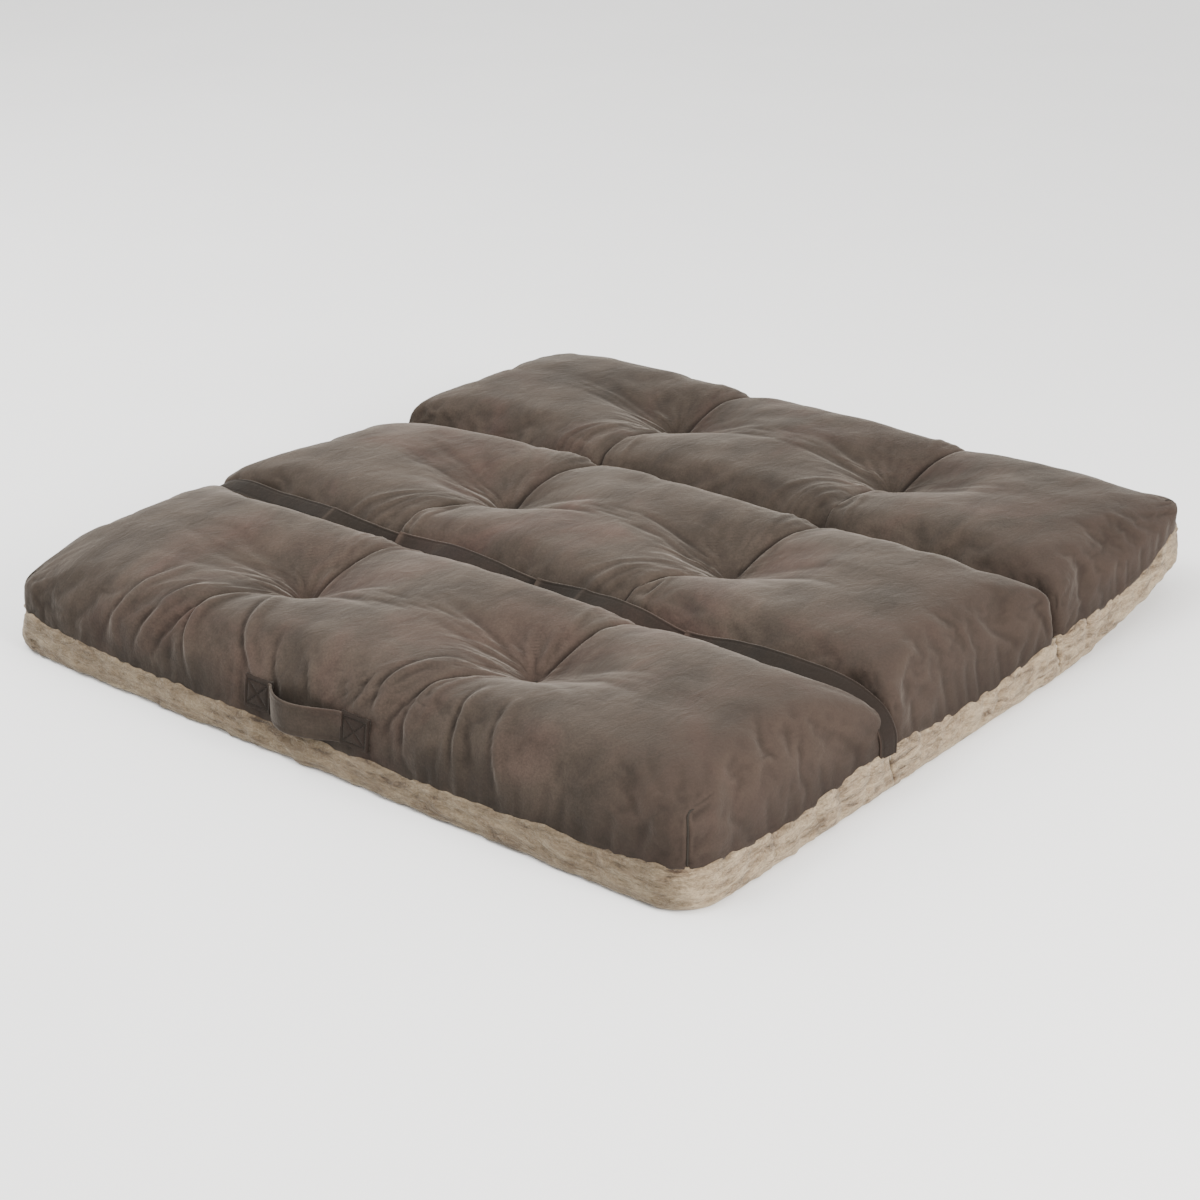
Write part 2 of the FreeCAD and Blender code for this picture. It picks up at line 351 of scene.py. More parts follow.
def velvet_material(name, creased):
    """Short-pile velvet: dark seen straight on, lighter at a slant, and blotched where it is brushed."""
    n = Nodes(name)
    shifted = n.stretched((1, 1, 1), shift=(0.31, 0.12, 0))
    blotches = n.noise(6.5, detail=5, rough=0.55, where=shifted, warp=0.8)
    brushed = n.noise(24, detail=4, rough=0.6, where=n.stretched((1, 0.45, 1), (0, 0, 0.6)), warp=0.5)
    crinkle = n.noise(60, detail=3, rough=0.6, where=n.stretched((1, 0.6, 0.8), (0, 0, -0.5)), warp=0.8)
    pile = n.noise(1300, detail=2, rough=0.7)
    grain = n.noise(420, detail=3, rough=0.7)
    dark, plain, rosy = (0.033, 0.0250, 0.0192), (0.045, 0.0340, 0.0265), (0.056, 0.0365, 0.0290)
    colour = n.ramp(blotches, (0.32, dark), (0.52, plain), (0.70, rosy))
    colour = n.lit(0.8, colour, brushed, (0.3, 0.32), (0.7, 0.66))
    colour = n.lit(0.35, colour, grain, (0.3, 0.25), (0.7, 0.75))
    colour = n.lit(0.30, colour, pile, (0.3, 0.3), (0.7, 0.7))
    soft_sheen = n.ramp(blotches, (0.35, 0.32), (0.65, 0.22))
    sheen = n.mix(0.5, soft_sheen, n.ramp(brushed, (0.3, 0.19), (0.7, 0.35)))
    x, y, z = n.parts(n.place)
    # painted shade: the back section's velvet darker, in colour and sheen
    back_section_shade = n.ramp(y, (0.16, 1.0), (0.30, 0.82))
    colour, sheen = n.darkened(back_section_shade, colour, sheen)
    # painted shade: the bed's right end darker and redder, with less sheen
    against = n.ramp(n.math("MULTIPLY_ADD", brushed, 0.25, x), (0.44, 0.0), (0.56, 1.0))
    colour = n.mix(against, colour, n.mix(0.5, colour, (0.038, 0.0245, 0.0195)))
    sheen = n.mix(against, sheen, n.mix(0.35, sheen, (0.02, 0.02, 0.02)))
    bumps = [(pile, 0.30, 0.0006), (grain, 0.22, 0.0012), (crinkle, 0.25, 0.004), (brushed, 0.25, 0.006)]
    if creased:
        # painted shade: darker towards the seam, low on the walls
        low_wall_shade = n.ramp(n.math("MULTIPLY_ADD", brushed, 0.02, z), (0.040, 0.54), (0.090, 1.0))
        colour, sheen = n.darkened(low_wall_shade, colour, sheen)
        # painted shade: darker in the hollows of creases and folds, where the mesh's pointiness is low
        convexity = n.add("ShaderNodeNewGeometry").outputs["Pointiness"]
        painted_shading = n.ramp(convexity, (0.455, 0.45), (0.497, 0.82), (0.503, 0.90), (0.535, 1.0))
        at_tuft, at_edge = tuft_creases(n)
        bumps += [(at_tuft, 0.55, 0.0055), (at_edge, 0.5, 0.0050)]
    else:
        # painted light on ribbons: darker flats and painted highlights on the folded edges, from the marks;
        # a piece without them, such as a tab, takes the darkest
        hem = n.add("ShaderNodeAttribute", attribute_name="hem").outputs["Fac"]
        painted_shading = n.ramp(hem, (0.0, 0.37), (1.0, 1.0))
    colour, sheen = n.darkened(painted_shading, colour, sheen)
    return n.finish(
        colour,
        n.ramp(brushed, (0.3, 0.72), (0.7, 0.9)),
        Normal=n.bumps(*bumps),
        Sheen_Weight=sheen,
        Sheen_Roughness=0.36,
        Sheen_Tint=(0.83, 0.755, 0.665),
        Specular_IOR_Level=0.10,
    )


def plush_material():
    """Carved short plush: clumps of beige pile with darker partings between them."""
    n = Nodes("plush")
    lying = n.stretched((0.30, 0.34, 1.5))
    clumps = n.noise(62, detail=5, rough=0.68, where=lying, warp=1.2)
    partings = n.noise(130, detail=4, rough=0.7, where=lying, warp=0.8)
    fibres = n.noise(520, detail=3, rough=0.7, where=n.stretched((0.6, 0.6, 1.3)))
    tone = n.noise(5, detail=2)
    root, middle, tip = (0.056, 0.035, 0.022), (0.158, 0.114, 0.073), (0.243, 0.188, 0.123)
    colour = n.ramp(clumps, (0.33, root), (0.44, middle), (0.62, tip))
    colour = n.lit(0.8, colour, partings, (0.34, 0.22), (0.50, 0.5), (0.70, 0.68))
    colour = n.lit(0.7, colour, fibres, (0.3, 0.22), (0.7, 0.78))
    colour = n.lit(0.4, colour, tone, (0.35, (0.47, 0.45, 0.43)), (0.65, (0.55, 0.55, 0.55)))
    # painted shade: the plush darker along the front and the back
    front_back_shade = n.ramp(n.math("ABSOLUTE", n.parts(n.place)[1]), (0.450, 1.0), (0.462, 0.62))
    (colour,) = n.darkened(front_back_shade, colour)
    return n.finish(
        colour,
        0.92,
        Normal=n.bumps((fibres, 0.7, 0.0020), (partings, 0.6, 0.004), (clumps, 0.6, 0.006)),
        Sheen_Weight=0.30,
        Sheen_Roughness=0.5,
        Sheen_Tint=(0.96, 0.88, 0.74),
        Specular_IOR_Level=0.1,
    )


def plain_cloth(name, dark, light, scale, roughness=0.9, bump=0.3, sheen=0.2, on_cad=False):
    """A cloth, wadding or thread of one colour with its weave or fibres."""
    n = Nodes(name, on_cad)
    weave = n.noise(scale, detail=4, rough=0.65)
    colour = n.ramp(weave, (0.3, dark), (0.7, light))
    normal = n.bumps((weave, bump, 0.6 / scale))
    return n.finish(colour, roughness, Normal=normal, Sheen_Weight=sheen, Specular_IOR_Level=0.15)


VELVET = velvet_material("velvet", True)
STRAP_VELVET = velvet_material("strap_velvet", False)
PLUSH = plush_material()
FIBRE = plain_cloth("fibre", (0.62, 0.60, 0.56), (0.82, 0.81, 0.78), 160, bump=0.6)
PAD = plain_cloth("pad", (0.56, 0.53, 0.46), (0.74, 0.71, 0.64), 90, bump=0.6)
LINING = plain_cloth("lining", (0.36, 0.32, 0.27), (0.46, 0.42, 0.36), 900, on_cad=True)
THREAD = plain_cloth("thread", (0.010, 0.008, 0.006), (0.024, 0.019, 0.015), 2200, roughness=0.7, sheen=0.0)

# ---------------------------------------------------------------- velvet covers and their fill

COVER_COUNT = (144, 48, 12)  # lattice cells along X, along Y and up the walls
FILL_EVERY = 3  # the fill's lattice uses every third of those
FILL_INSET = 0.011  # from the velvet in to the fill, which is more than its deepest fold
WALL_INSET = 0.003  # from the bed's outside to the velvet's walls
GUTTER_GAP = 0.0016  # from a fold line to each cover where they press together
FOOT_GAP = 0.0001  # the same at the covers' feet, which close the gutter
FOOT_RISE = 0.005  # how far up a gutter's wall its foot reaches
VELVET_THICKNESS = 0.0014
START_CROWN = 0.111  # a cover's height before it is filled
OUTER_ROUND = 0.046  # radius of the upright corners on the outside of the bed, as the cloth starts
GUTTER_ROUND = 0.016  # the same, where a cover's end meets a gutter, along Y
GUTTER_END_ROUND = 0.018  # and along X
TOP_ROUND = 0.034  # radius of the edges round a cover's top
SQUARENESS = 2.2  # 2 gives round edges, and more gives squarer ones
END_DROP = 0.010  # how much lower a cover is at its ends
LEFT_DROP = {"front": 0.013, "middle": 0.015, "back": 0.003}  # and again at the left, with less fill there
LEFT_TILT = {"front": -0.4, "middle": 0.9, "back": 0.0}  # how much more of that is at the section's far edge
GUTTER_DROP = {"front": 0.014, "middle": 0.003, "back": 0.003}  # and along its gutters
EDGE_DROP = 0.005  # and along every edge
TUFT_DROP = 0.033  # how deep a tuft's dimple is
TUFT_WIDTH = 0.058  # and how wide
CREASE_DROP = 0.010  # the same for the creases through the tufts
CREASE_WIDTH = 0.010
CREASE_TUCK = 0.006  # how far a crease runs in under the puff on its right
FRONT_TUCK = 0.7  # the share of that on a section's front half
BACK_TURN = 0.020  # how far a crease has turned to the right where it meets a section's far edge
FRONT_TURN = {"front": -0.048, "middle": -0.036, "back": 0.0}  # and where it meets its near edge
CREASE_HOLD = 0.15  # how firmly the cloth is held in a crease
DART_INSET = 0.0025  # how far the corner darts pull the cloth in
DART_TOP = 0.93  # how far up the wall they go, as a share
SLACK_TOP = 0.018  # extra cloth on the top, as a share of its length
SLACK_WALL = 0.040  # and on the outer walls
WALL_FOLD = 0.0014  # depth of the folds gathered into the seam
KNOT_REACH = 0.0075  # how far out a tuft's knot holds the cloth
TUFT_FOLD = 0.0011  # depth of the folds that fan out from a tuft
CREASE_DEPTH = 0.0042  # depth of the line of a crease
CREASE_LIP = 0.0020  # height of the puff's lip beside it
SHORT_FOLD = 0.0014  # depth of the short folds beside it
FOLD_LIMIT = 0.0035  # the folds at the tufts and creases never come to more than this together
GUTTER_PUCKER = 0.0013  # depth of the puckers along the gutters
SEAM_PUCKER = 0.0012  # and along the seams
# from and to, as X and rolled-out Y in the front section, and how deep, how wide and how bowed each fold is
FRONT_FOLDS = (
    ((-0.250, -0.060), (-0.290, -0.200), 0.0026, 0.0055, 0.05),
    ((-0.205, -0.080), (-0.243, -0.205), 0.0030, 0.0060, 0.03),
    ((-0.166, -0.066), (-0.158, -0.205), 0.0032, 0.0065, -0.08),
    ((-0.132, -0.046), (-0.070, -0.184), 0.0034, 0.0062, -0.04),
    ((-0.056, -0.118), (-0.036, -0.186), 0.0028, 0.0055, -0.06),
    ((-0.012, -0.128), (0.004, -0.182), 0.0024, 0.0050, 0.0),
    ((0.070, -0.120), (0.058, -0.176), 0.0024, 0.0045, 0.0),
    ((0.124, -0.048), (0.090, -0.182), 0.0034, 0.0060, -0.14),
    ((0.140, -0.078), (0.128, -0.205), 0.0030, 0.0062, -0.08),
    ((0.172, -0.085), (0.186, -0.200), 0.0032, 0.0055, 0.0),
    ((0.214, -0.095), (0.238, -0.200), 0.0026, 0.0050, 0.0),
)
INFLATE_FRAMES = 12  # how long the cloth is filled for
CLOTH_SETTINGS = {
    "quality": 4,
    "mass": 0.001,
    "tension_stiffness": 15,
    "compression_stiffness": 15,
    "shear_stiffness": 5,
    "bending_stiffness": 0.004,
    "bending_damping": 0.5,
    "air_damping": 1,
    "use_pressure": True,
    "uniform_pressure_force": 4,
    "vertex_group_mass": "held",
    "vertex_group_shrink": "slack",
    "shrink_min": -SLACK_TOP,
    "shrink_max": -SLACK_WALL,
}
CORNER_LIFT = 0.037  # how far the bed's back right corner curls up off the floor
CORNER_PULL = 0.012  # how far that corner and the front left one are drawn in


def outer_walls(name):
    """A section's walls on the outside of the bed, as the axis that each one faces along and which way."""
    outward = OUTWARD[name]
    return [(0, -1), (0, 1)] + ([(1, outward)] if outward else [])


def seam_height(x, y):
    """The height of the seam between velvet and plush, which dips between corners and gutters."""
    near_side = smooth_step(np.abs(x), HALF_WIDTH - 0.15, HALF_WIDTH)
    near_end = smooth_step(np.abs(y), FOLD_Y + 0.10, HALF_DEPTH)
    side_dip = np.sin(math.pi * (np.abs(y) - FOLD_Y) / PITCH) ** 2
    end_dip = 1 - np.minimum(np.abs(x) / HALF_WIDTH, 1) ** 2.5
    rise = 0.0045 * np.maximum(near_side, near_end)
    return SEAM_Z + rise - 0.0105 * side_dip * near_side - 0.0135 * end_dip * near_end


def bend_corners(points):
    """Lifts the bed's back right corner off the floor, and draws that one and the front left one in."""
    x, y, z = points.T
    across = smooth_step(x, HALF_WIDTH - 0.19, HALF_WIDTH) * smooth_step(y, FOLD_Y - 0.02, HALF_DEPTH - 0.01)
    bent = points.copy()
    bent[:, 2] = z + CORNER_LIFT * across * (1 - smooth_step(z, 0.045, CROWN_Z))
    reach = 0.13
    for side in (-1, 1):
        near = smooth_step(side * x, HALF_WIDTH - reach, HALF_WIDTH)
        near = near * smooth_step(side * y, HALF_DEPTH - reach, HALF_DEPTH)
        bent[:, 0] -= side * CORNER_PULL * near
        bent[:, 1] -= side * 0.5 * CORNER_PULL * near
    return bent


def cover_places(name, shares):
    """Where the lattice's shares lie in X and Y, closer together at the tufts and edges."""
    s = 2 * shares[:, 0] - 1
    t = 2 * shares[:, 1] - 1
    x = (HALF_WIDTH - WALL_INSET) * (s + 0.30 * np.sin(3 * math.pi * s) / (3 * math.pi))
    insets = [WALL_INSET if sign == OUTWARD[name] else GUTTER_GAP for sign in (-1, 1)]
    low, high = insets[0] - HALF_PITCH, HALF_PITCH - insets[1]
    y = low + (high - low) * (1 + t - 0.25 * np.sin(2 * math.pi * t) / (2 * math.pi)) / 2
    return x, y


def rounded_block(name, x, y, up):
    """Rounds a block's lattice, more on the outside of the bed than where it meets a gutter."""
    z = SEAM_Z + up * (START_CROWN - SEAM_Z)
    round_low, round_high = (OUTER_ROUND if sign == OUTWARD[name] else GUTTER_ROUND for sign in (-1, 1))
    to_gutter = np.maximum.reduce([0 * y] + [sign * y for sign in (-1, 1) if sign != OUTWARD[name]])
    end_round = OUTER_ROUND + (GUTTER_END_ROUND - OUTER_ROUND) * smooth_step(to_gutter, 0.03, 0.13)
    inner = points_at(
        np.clip(x, x.min() + end_round, x.max() - end_round),
        np.clip(y, y.min() + round_low, y.max() - round_high),
        np.minimum(z, START_CROWN - TOP_ROUND),
    )
    radius = points_at(end_round, np.where(y < 0, round_low, round_high), TOP_ROUND)
    out = (points_at(x, y, z) - inner) / radius
    length = (np.abs(out) ** SQUARENESS).sum(axis=1) ** (1 / SQUARENESS)
    far = np.abs(out).max(axis=1)
    scale = np.where(length > 1e-9, far / np.maximum(length, 1e-9), 0)
    return inner + out * scale[:, None] * radius


def crease_turn(name, y):
    """How far the crease through a tuft has turned to the right of it, at each Y."""
    return np.where(y > 0, BACK_TURN, FRONT_TURN[name]) * np.abs(y / HALF_PITCH) ** 1.25


def crease_line(name, side, y):
    """The X of that crease at each Y."""
    return side * TUFT_X + crease_turn(name, y)


def start_height(name, x, y):
    """How high a cover's cloth is before filling, with its tufts and the creases through them."""
    u = x / HALF_WIDTH
    v = y / HALF_PITCH
    left = LEFT_DROP[name] * (1 + LEFT_TILT[name] * v) * smooth_step(-u, 0.3, 1)
    height = START_CROWN - END_DROP * u**4 - left
    gutter = np.maximum(v, 0) if name == "front" else np.abs(v)
    fading = 1 - 0.85 * smooth_step(-u, 0.70, 0.96)
    height = height - GUTTER_DROP[name] * gutter**2.5 * fading - EDGE_DROP * np.abs(v) ** 3
    for side in (-1, 1):
        reach = from_tuft(x, y, side)
        off_line = np.abs(x - crease_line(name, side, y))
        front = smooth_step(-y, 0.02, 0.12)
        height = height - TUFT_DROP * np.exp(-((reach / TUFT_WIDTH) ** 0.95))
        height = height - CREASE_DROP * (1 - 0.5 * front) * np.exp(-off_line / (CREASE_WIDTH * (1 + front)))
    return height


def tuck_creases(name, points, shares):
    """Runs the bottom of each crease in under the puff on its right."""
    on_top = smooth_step(shares[:, 2], 0.6, 1)
    for side in (-1, 1):
        off = points[:, 0] - crease_line(name, side, points[:, 1])
        reach = from_tuft(points[:, 0], points[:, 1], side)
        tuck = bell(off, 0.007) * smooth_step(reach, 0.010, 0.030) * on_top
        points[:, 0] += CREASE_TUCK * tuck * np.where(points[:, 1] > 0, 1, FRONT_TUCK)
    return points


def wall_folds(name, points, shares):
    """Upright folds where the outer walls are gathered into the seam, as pushes along X and Y."""
    push = np.zeros_like(points)
    rng = np.random.default_rng(41 + SECTIONS.index(name))
    up = shares[:, 2]
    for axis, sign in outer_walls(name):
        on_wall = shares[:, axis] == (sign + 1) / 2
        along = points[:, 1 - axis]
        place = along.min()
        while place < along.max():
            place += rng.uniform(0.012, 0.034)
            tall = rng.uniform(0.35, 0.95)
            lean = rng.normal(0, 0.006)
            fade = np.clip(1 - up / tall, 0, 1)
            deep = WALL_FOLD * (1 if axis else 0.3) * fade * (up > 0)
            push[:, axis] += sign * on_wall * deep * bell(along - place - lean * up, 0.006)
    return push


def dart_ways(name, shares):
    """The way out of the bed's corner at each lattice point of its darts, and nothing at the others."""
    ways = np.zeros((len(shares), 3))
    outward = OUTWARD[name]
    if outward:
        at_end = shares[:, 1] == (outward + 1) / 2
        for side in (-1, 1):
            at_side = shares[:, 0] == (side + 1) / 2
            slant = math.sqrt(0.5)
            ways[at_end & at_side & (shares[:, 2] < DART_TOP)] = (side * slant, outward * slant, 0)
    return ways


def cloth_weights(name, points, shares):
    """How firmly each point is held, and how much extra cloth there is at it."""
    on_dart = dart_ways(name, shares).any(axis=1)
    held = np.where((shares[:, 2] == 0) | on_dart, 1.0, 0.0)
    on_top = shares[:, 2] == 1
    for side in (-1, 1):
        near = from_tuft(points[:, 0], points[:, 1], side) < KNOT_REACH
        held = np.where(near & on_top, 1, held)
        tuck = CREASE_TUCK * np.where(points[:, 1] > 0, 1, FRONT_TUCK)
        line = crease_line(name, side, points[:, 1]) + tuck
        in_crease = on_top & (np.abs(points[:, 0] - line) < 0.004)
        held = np.maximum(held, np.where(in_crease, CREASE_HOLD, 0))
    wall = np.zeros(len(points))
    for axis, sign in outer_walls(name):
        gathered = 1 if axis else 0.35
        on_wall = shares[:, axis] == (sign + 1) / 2
        wall = np.maximum(wall, on_wall * gathered * (1 - 0.6 * shares[:, 2]))
    return held, wall


def weight_group(piece, name, weights):
    group = piece.vertex_groups.new(name=name)
    weights = weights.round(2)
    for level in np.unique(weights[weights > 0]):
        group.add(np.nonzero(weights == level)[0].tolist(), float(level), "REPLACE")


def cloth_object(name, points, faces, held, wall):
    """An object with Blender's cloth on it, filled by pressure."""
    piece = new_object(f"sim_{name}", points, faces)
    weight_group(piece, "held", held)
    weight_group(piece, "slack", wall)
    cloth = add_modifier(piece, "CLOTH")
    for key, value in CLOTH_SETTINGS.items():
        setattr(cloth.settings, key, value)
    cloth.settings.effector_weights.gravity = 0
    cloth.collision_settings.use_collision = False
    cloth.point_cache.frame_end = INFLATE_FRAMES + 1
    return piece


def points_of(piece):
    """A piece's points and faces with its modifiers worked out."""
    graph = bpy.context.evaluated_depsgraph_get()
    mesh = piece.evaluated_get(graph).to_mesh()
    places = np.zeros(len(mesh.vertices) * 3, np.float32)
    mesh.vertices.foreach_get("co", places)
    return places.reshape(-1, 3).astype(float), [tuple(face.vertices) for face in mesh.polygons]


def simulate(pieces):
    """Runs the cloth on all pieces at once and returns each one's points."""
    for step in range(1, INFLATE_FRAMES + 1):
        bpy.context.scene.frame_set(step)
    filled = [points_of(piece)[0] for piece in pieces]
    bpy.context.scene.frame_set(1)
    return filled


def soft_limit(values, limit, soft):
    """Values kept below a limit, which they near slowly over the last stretch."""
    over = np.maximum(values - (limit - soft), 0)
    return np.where(over > 0, limit - soft + soft * np.tanh(over / soft), values)


def settle(name, points):
    """Keeps a filled cover under the crown, inside the bed and on its own side of each gutter."""
    points[:, 2] = soft_limit(points[:, 2], CROWN_Z + 0.002, 0.020)
    for sign in (-1, 1):
        points[:, 0] = sign * soft_limit(sign * points[:, 0], HALF_WIDTH - 0.001, 0.005)
        outside = sign == OUTWARD[name]
        limit = HALF_PITCH - (0.001 if outside else GUTTER_GAP)
        points[:, 1] = sign * soft_limit(sign * points[:, 1], limit, 0.005 if outside else 0.003)
    return points


def fold_place(x, y, start, end, bend):
    """How far each place is from a fold's line, and how much of the fold is left there, toward its ends."""
    run_x, run_y = end[0] - start[0], end[1] - start[1]
    length = math.hypot(run_x, run_y)
    share = ((x - start[0]) * run_x + (y - start[1]) * run_y) / length**2
    off = ((x - start[0]) * run_y - (y - start[1]) * run_x) / length
    taper = np.sin(math.pi * np.clip(share, 0, 1)) ** 0.7
    return off + bend * length * taper, taper


def fold(x, y, start, end, deep, wide, bend=0.0):
    """A fold from start to end: steep on its right and easy on its left."""
    off, taper = fold_place(x, y, start, end, bend)
    return deep * taper * np.where(off > 0, np.exp(-off / (0.45 * wide)), np.exp(off / wide))


def lapped_fold(x, y, start, end, deep, wide, bend):
    """A puff that laps over the cloth on its right, with the cloth drawn in beside it."""
    off, taper = fold_place(x, y, start, end, bend)
    puff = bell(off + 0.85 * wide, 1.25 * wide)
    drawn_in = bell(off - 0.45 * wide, 0.62 * wide)
    return deep * taper * (puff - 0.85 * drawn_in)


def tuft_wrinkles(x, y, rng):
    """Folds that fan out from each tuft on the side away from the overlapping puff."""
    push = np.zeros_like(x)
    for side in (-1, 1):
        away = x - side * TUFT_X
        for _ in range(30):
            angle = rng.uniform(0.42, 1.55) * math.pi
            near, far = rng.uniform(0.008, 0.030), rng.uniform(0.035, 0.085)
            start = (near * math.cos(angle), near * math.sin(angle))
            angle += rng.normal(0, 0.12)
            end = (far * math.cos(angle), far * math.sin(angle))
            deep = rng.uniform(0.5, 1.5) * TUFT_FOLD
            push += fold(away, y, start, end, deep, 0.0035, rng.normal(0, 0.05))
    return push


def crease_wrinkles(name, x, y, rng):
    """The line of each crease, the lip of the puff on its right, and the folds that run along beside it."""
    push = np.zeros_like(x)
    half = HALF_PITCH
    for side in (-1, 1):
        off = x - crease_line(name, side, y) - CREASE_TUCK * 0.6
        reach = from_tuft(x, y, side)
        along = smooth_step(reach, 0.006, 0.020) * (1 - 0.75 * smooth_step(np.abs(y), 0.06, 0.13))
        back = np.where(y > 0, 1, 0.8)
        push -= CREASE_DEPTH * back * along * np.exp(-np.abs(off) / 0.0026)
        push += CREASE_LIP * back * along * bell(off - 0.0075, 0.0045)
        away = x - side * TUFT_X
        for way, spread, count, strong in ((1, 0.034, 9, 0.0016), (-1, 0.052, 7, 0.0034)):
            for n in range(count):
                from_line = (n + rng.uniform(-0.4, 0.4) - 0.62 * count) / count * 2 * spread
                near = rng.uniform(0.30, 0.62)
                start_x = from_line * near + float(crease_turn(name, way * near * half))
                end_x = from_line * 1.25 + float(crease_turn(name, way * half))
                start, end = (start_x, way * near * half), (end_x, way * 1.16 * half)
                if way < 0:
                    start, end = end, start
                deep = rng.uniform(0.5, 1.2) * strong
                push += fold(away, y, start, end, deep, rng.uniform(0.0035, 0.0065), rng.normal(0, 0.04))
        for _ in range(16):
            place = rng.uniform(0.02, 0.13) * rng.choice((-1, 1))
            slope = rng.uniform(0.5, 2.0)
            long = rng.uniform(0.018, 0.045)
            start = (float(crease_turn(name, place)), place)
            end = (start[0] - long, place + math.copysign(slope * long, place))
            push += fold(away, y, start, end, rng.uniform(0.4, 1) * SHORT_FOLD, 0.0030)
    return FOLD_LIMIT * np.tanh(push / FOLD_LIMIT)


def front_folds(x, y):
    """The big folds that run from the front tufts down over the bed's front edge."""
    return sum(lapped_fold(x, y, *shape) for shape in FRONT_FOLDS)


def edge_wrinkles(name, points, rng):
    """Short puckers where the cloth runs into the seams and the gutters."""
    x, y, z = points.T
    push = np.zeros_like(x)
    above_seam = np.exp(-np.maximum(z - SEAM_Z, 0) / 0.016)
    walls = [(np.abs(x), HALF_WIDTH, y, 0.25)]
    for sign in (-1, 1):
        if sign == OUTWARD[name]:
            walls.append((sign * y, HALF_PITCH, x, 1.0))
            continue
        near = np.exp(-np.maximum(HALF_PITCH - sign * y, 0) / 0.016) * (z > 0.06)
        place = -HALF_WIDTH
        while place < HALF_WIDTH:
            place += rng.uniform(0.010, 0.040)
            line = x - place - rng.normal(0, 0.35) * (HALF_PITCH - sign * y)
            push += rng.uniform(0.2, 1) * GUTTER_PUCKER * near * np.exp(-np.abs(line) / 0.0026)
    for out, limit, along, strength in walls:
        on_wall = strength * smooth_step(out, limit - 0.030, limit - 0.012)
        place = -HALF_DEPTH
        while place < HALF_DEPTH:
            place += rng.uniform(0.008, 0.030)
            line = along - place - rng.normal(0, 0.25) * (z - SEAM_Z)
            deep = rng.uniform(0.2, 1) * SEAM_PUCKER
            push += deep * on_wall * above_seam * np.exp(-np.abs(line) / 0.0024)
    return push


def unrolled(name, points):
    """X and Y with the outer walls rolled out flat, so that a fold can run on over an edge."""
    x, y, z = points.T
    below = np.maximum(0.100 - z, 0)
    x = x + np.sign(x) * below * smooth_step(np.abs(x), HALF_WIDTH - 0.05, HALF_WIDTH - 0.015)
    outward = OUTWARD[name]
    y = y + outward * below * smooth_step(outward * y, HALF_PITCH - 0.05, HALF_PITCH - 0.015)
    return x, y


def closed_gutters(name, points):
    """A cover's points with their foot drawn out to the fold lines, where the next cover's foot is."""
    foot = 1 - smooth_step(points[:, 2], SEAM_Z, SEAM_Z + FOOT_RISE)
    line = HALF_PITCH - FOOT_GAP
    drawn = points.copy()
    for sign in (-1, 1):
        if sign != OUTWARD[name]:
            y = sign * points[:, 1]
            drawn[:, 1] += sign * foot * smooth_step(y, line - 0.007, line - 0.003) * (line - y)
    return drawn


def in_bed(name, points):
    """A cover's points moved to its place in the bed, with their foot on the seam."""
    points = closed_gutters(name, points) + (0, SECTION_Y[name], 0)
    fall = 1 - smooth_step(points[:, 2], SEAM_Z, 0.075)
    points[:, 2] += (seam_height(points[:, 0], points[:, 1]) - SEAM_Z) * fall
    return bend_corners(points)


def finished_cover(name, points, faces):
    """A filled cover with twice the points, its fine folds, and its place in the bed."""
    rough = new_object(f"rough_{name}", points, faces)
    add_modifier(rough, "SUBSURF", levels=1, render_levels=1)
    points, faces = points_of(rough)
    bpy.data.objects.remove(rough)
    rng = np.random.default_rng(71 + SECTIONS.index(name))
    x, y = unrolled(name, points)
    on_top = smooth_step(points[:, 2], 0.045, 0.065)
    push = on_top * (tuft_wrinkles(x, y, rng) + crease_wrinkles(name, x, y, rng))
    push += edge_wrinkles(name, points, rng)
    if name == "front":
        push += front_folds(x, y)
    push += 0.0007 * waves(points, 0.07, 81 + SECTIONS.index(name)) * on_top
    points = points + normals_of(points, faces) * push[:, None]
    return in_bed(name, points), faces


def make_covers():
    """The three covers, filled by simulation: their rough points, their finished meshes, and the lattice."""
    shares, faces, lattice = box_shell(*COVER_COUNT)
    pieces, starts = [], []
    for name in SECTIONS:
        block = rounded_block(name, *cover_places(name, shares), shares[:, 2])
        height = start_height(name, block[:, 0], block[:, 1])
        block[:, 2] = SEAM_Z + (block[:, 2] - SEAM_Z) * (height - SEAM_Z) / (START_CROWN - SEAM_Z)
        block = block + wall_folds(name, block, shares) - DART_INSET * dart_ways(name, shares)
        block = tuck_creases(name, block, shares)
        held, wall = cloth_weights(name, block, shares)
        starts.append(block)
        pieces.append(cloth_object(name, block, faces, held, wall))
    filled = simulate(pieces)
    for piece in pieces:
        bpy.data.objects.remove(piece)
    rough, finished = {}, {}
    for name, points in zip(SECTIONS, filled):
        rough[name] = settle(name, points)
        finished[name] = finished_cover(name, rough[name], faces)
    return rough, finished, lattice


def body_ride(piece, name):
    """A middle section's soft piece rides on the middle body; an outer section's piece keeps its place, with
    its transform baked in.
    """
    sign = OUTWARD[name]
    if not sign:
        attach(piece, "middle")
        return
    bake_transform(piece)


def show_covers():
    for name, (points, faces) in finished.items():
        piece = new_object(f"cover_{name}", points, faces, VELVET)
        add_modifier(piece, "SOLIDIFY", thickness=VELVET_THICKNESS, offset=-1)
        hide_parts(f"velvet_cover_{name}")
        body_ride(piece, name)


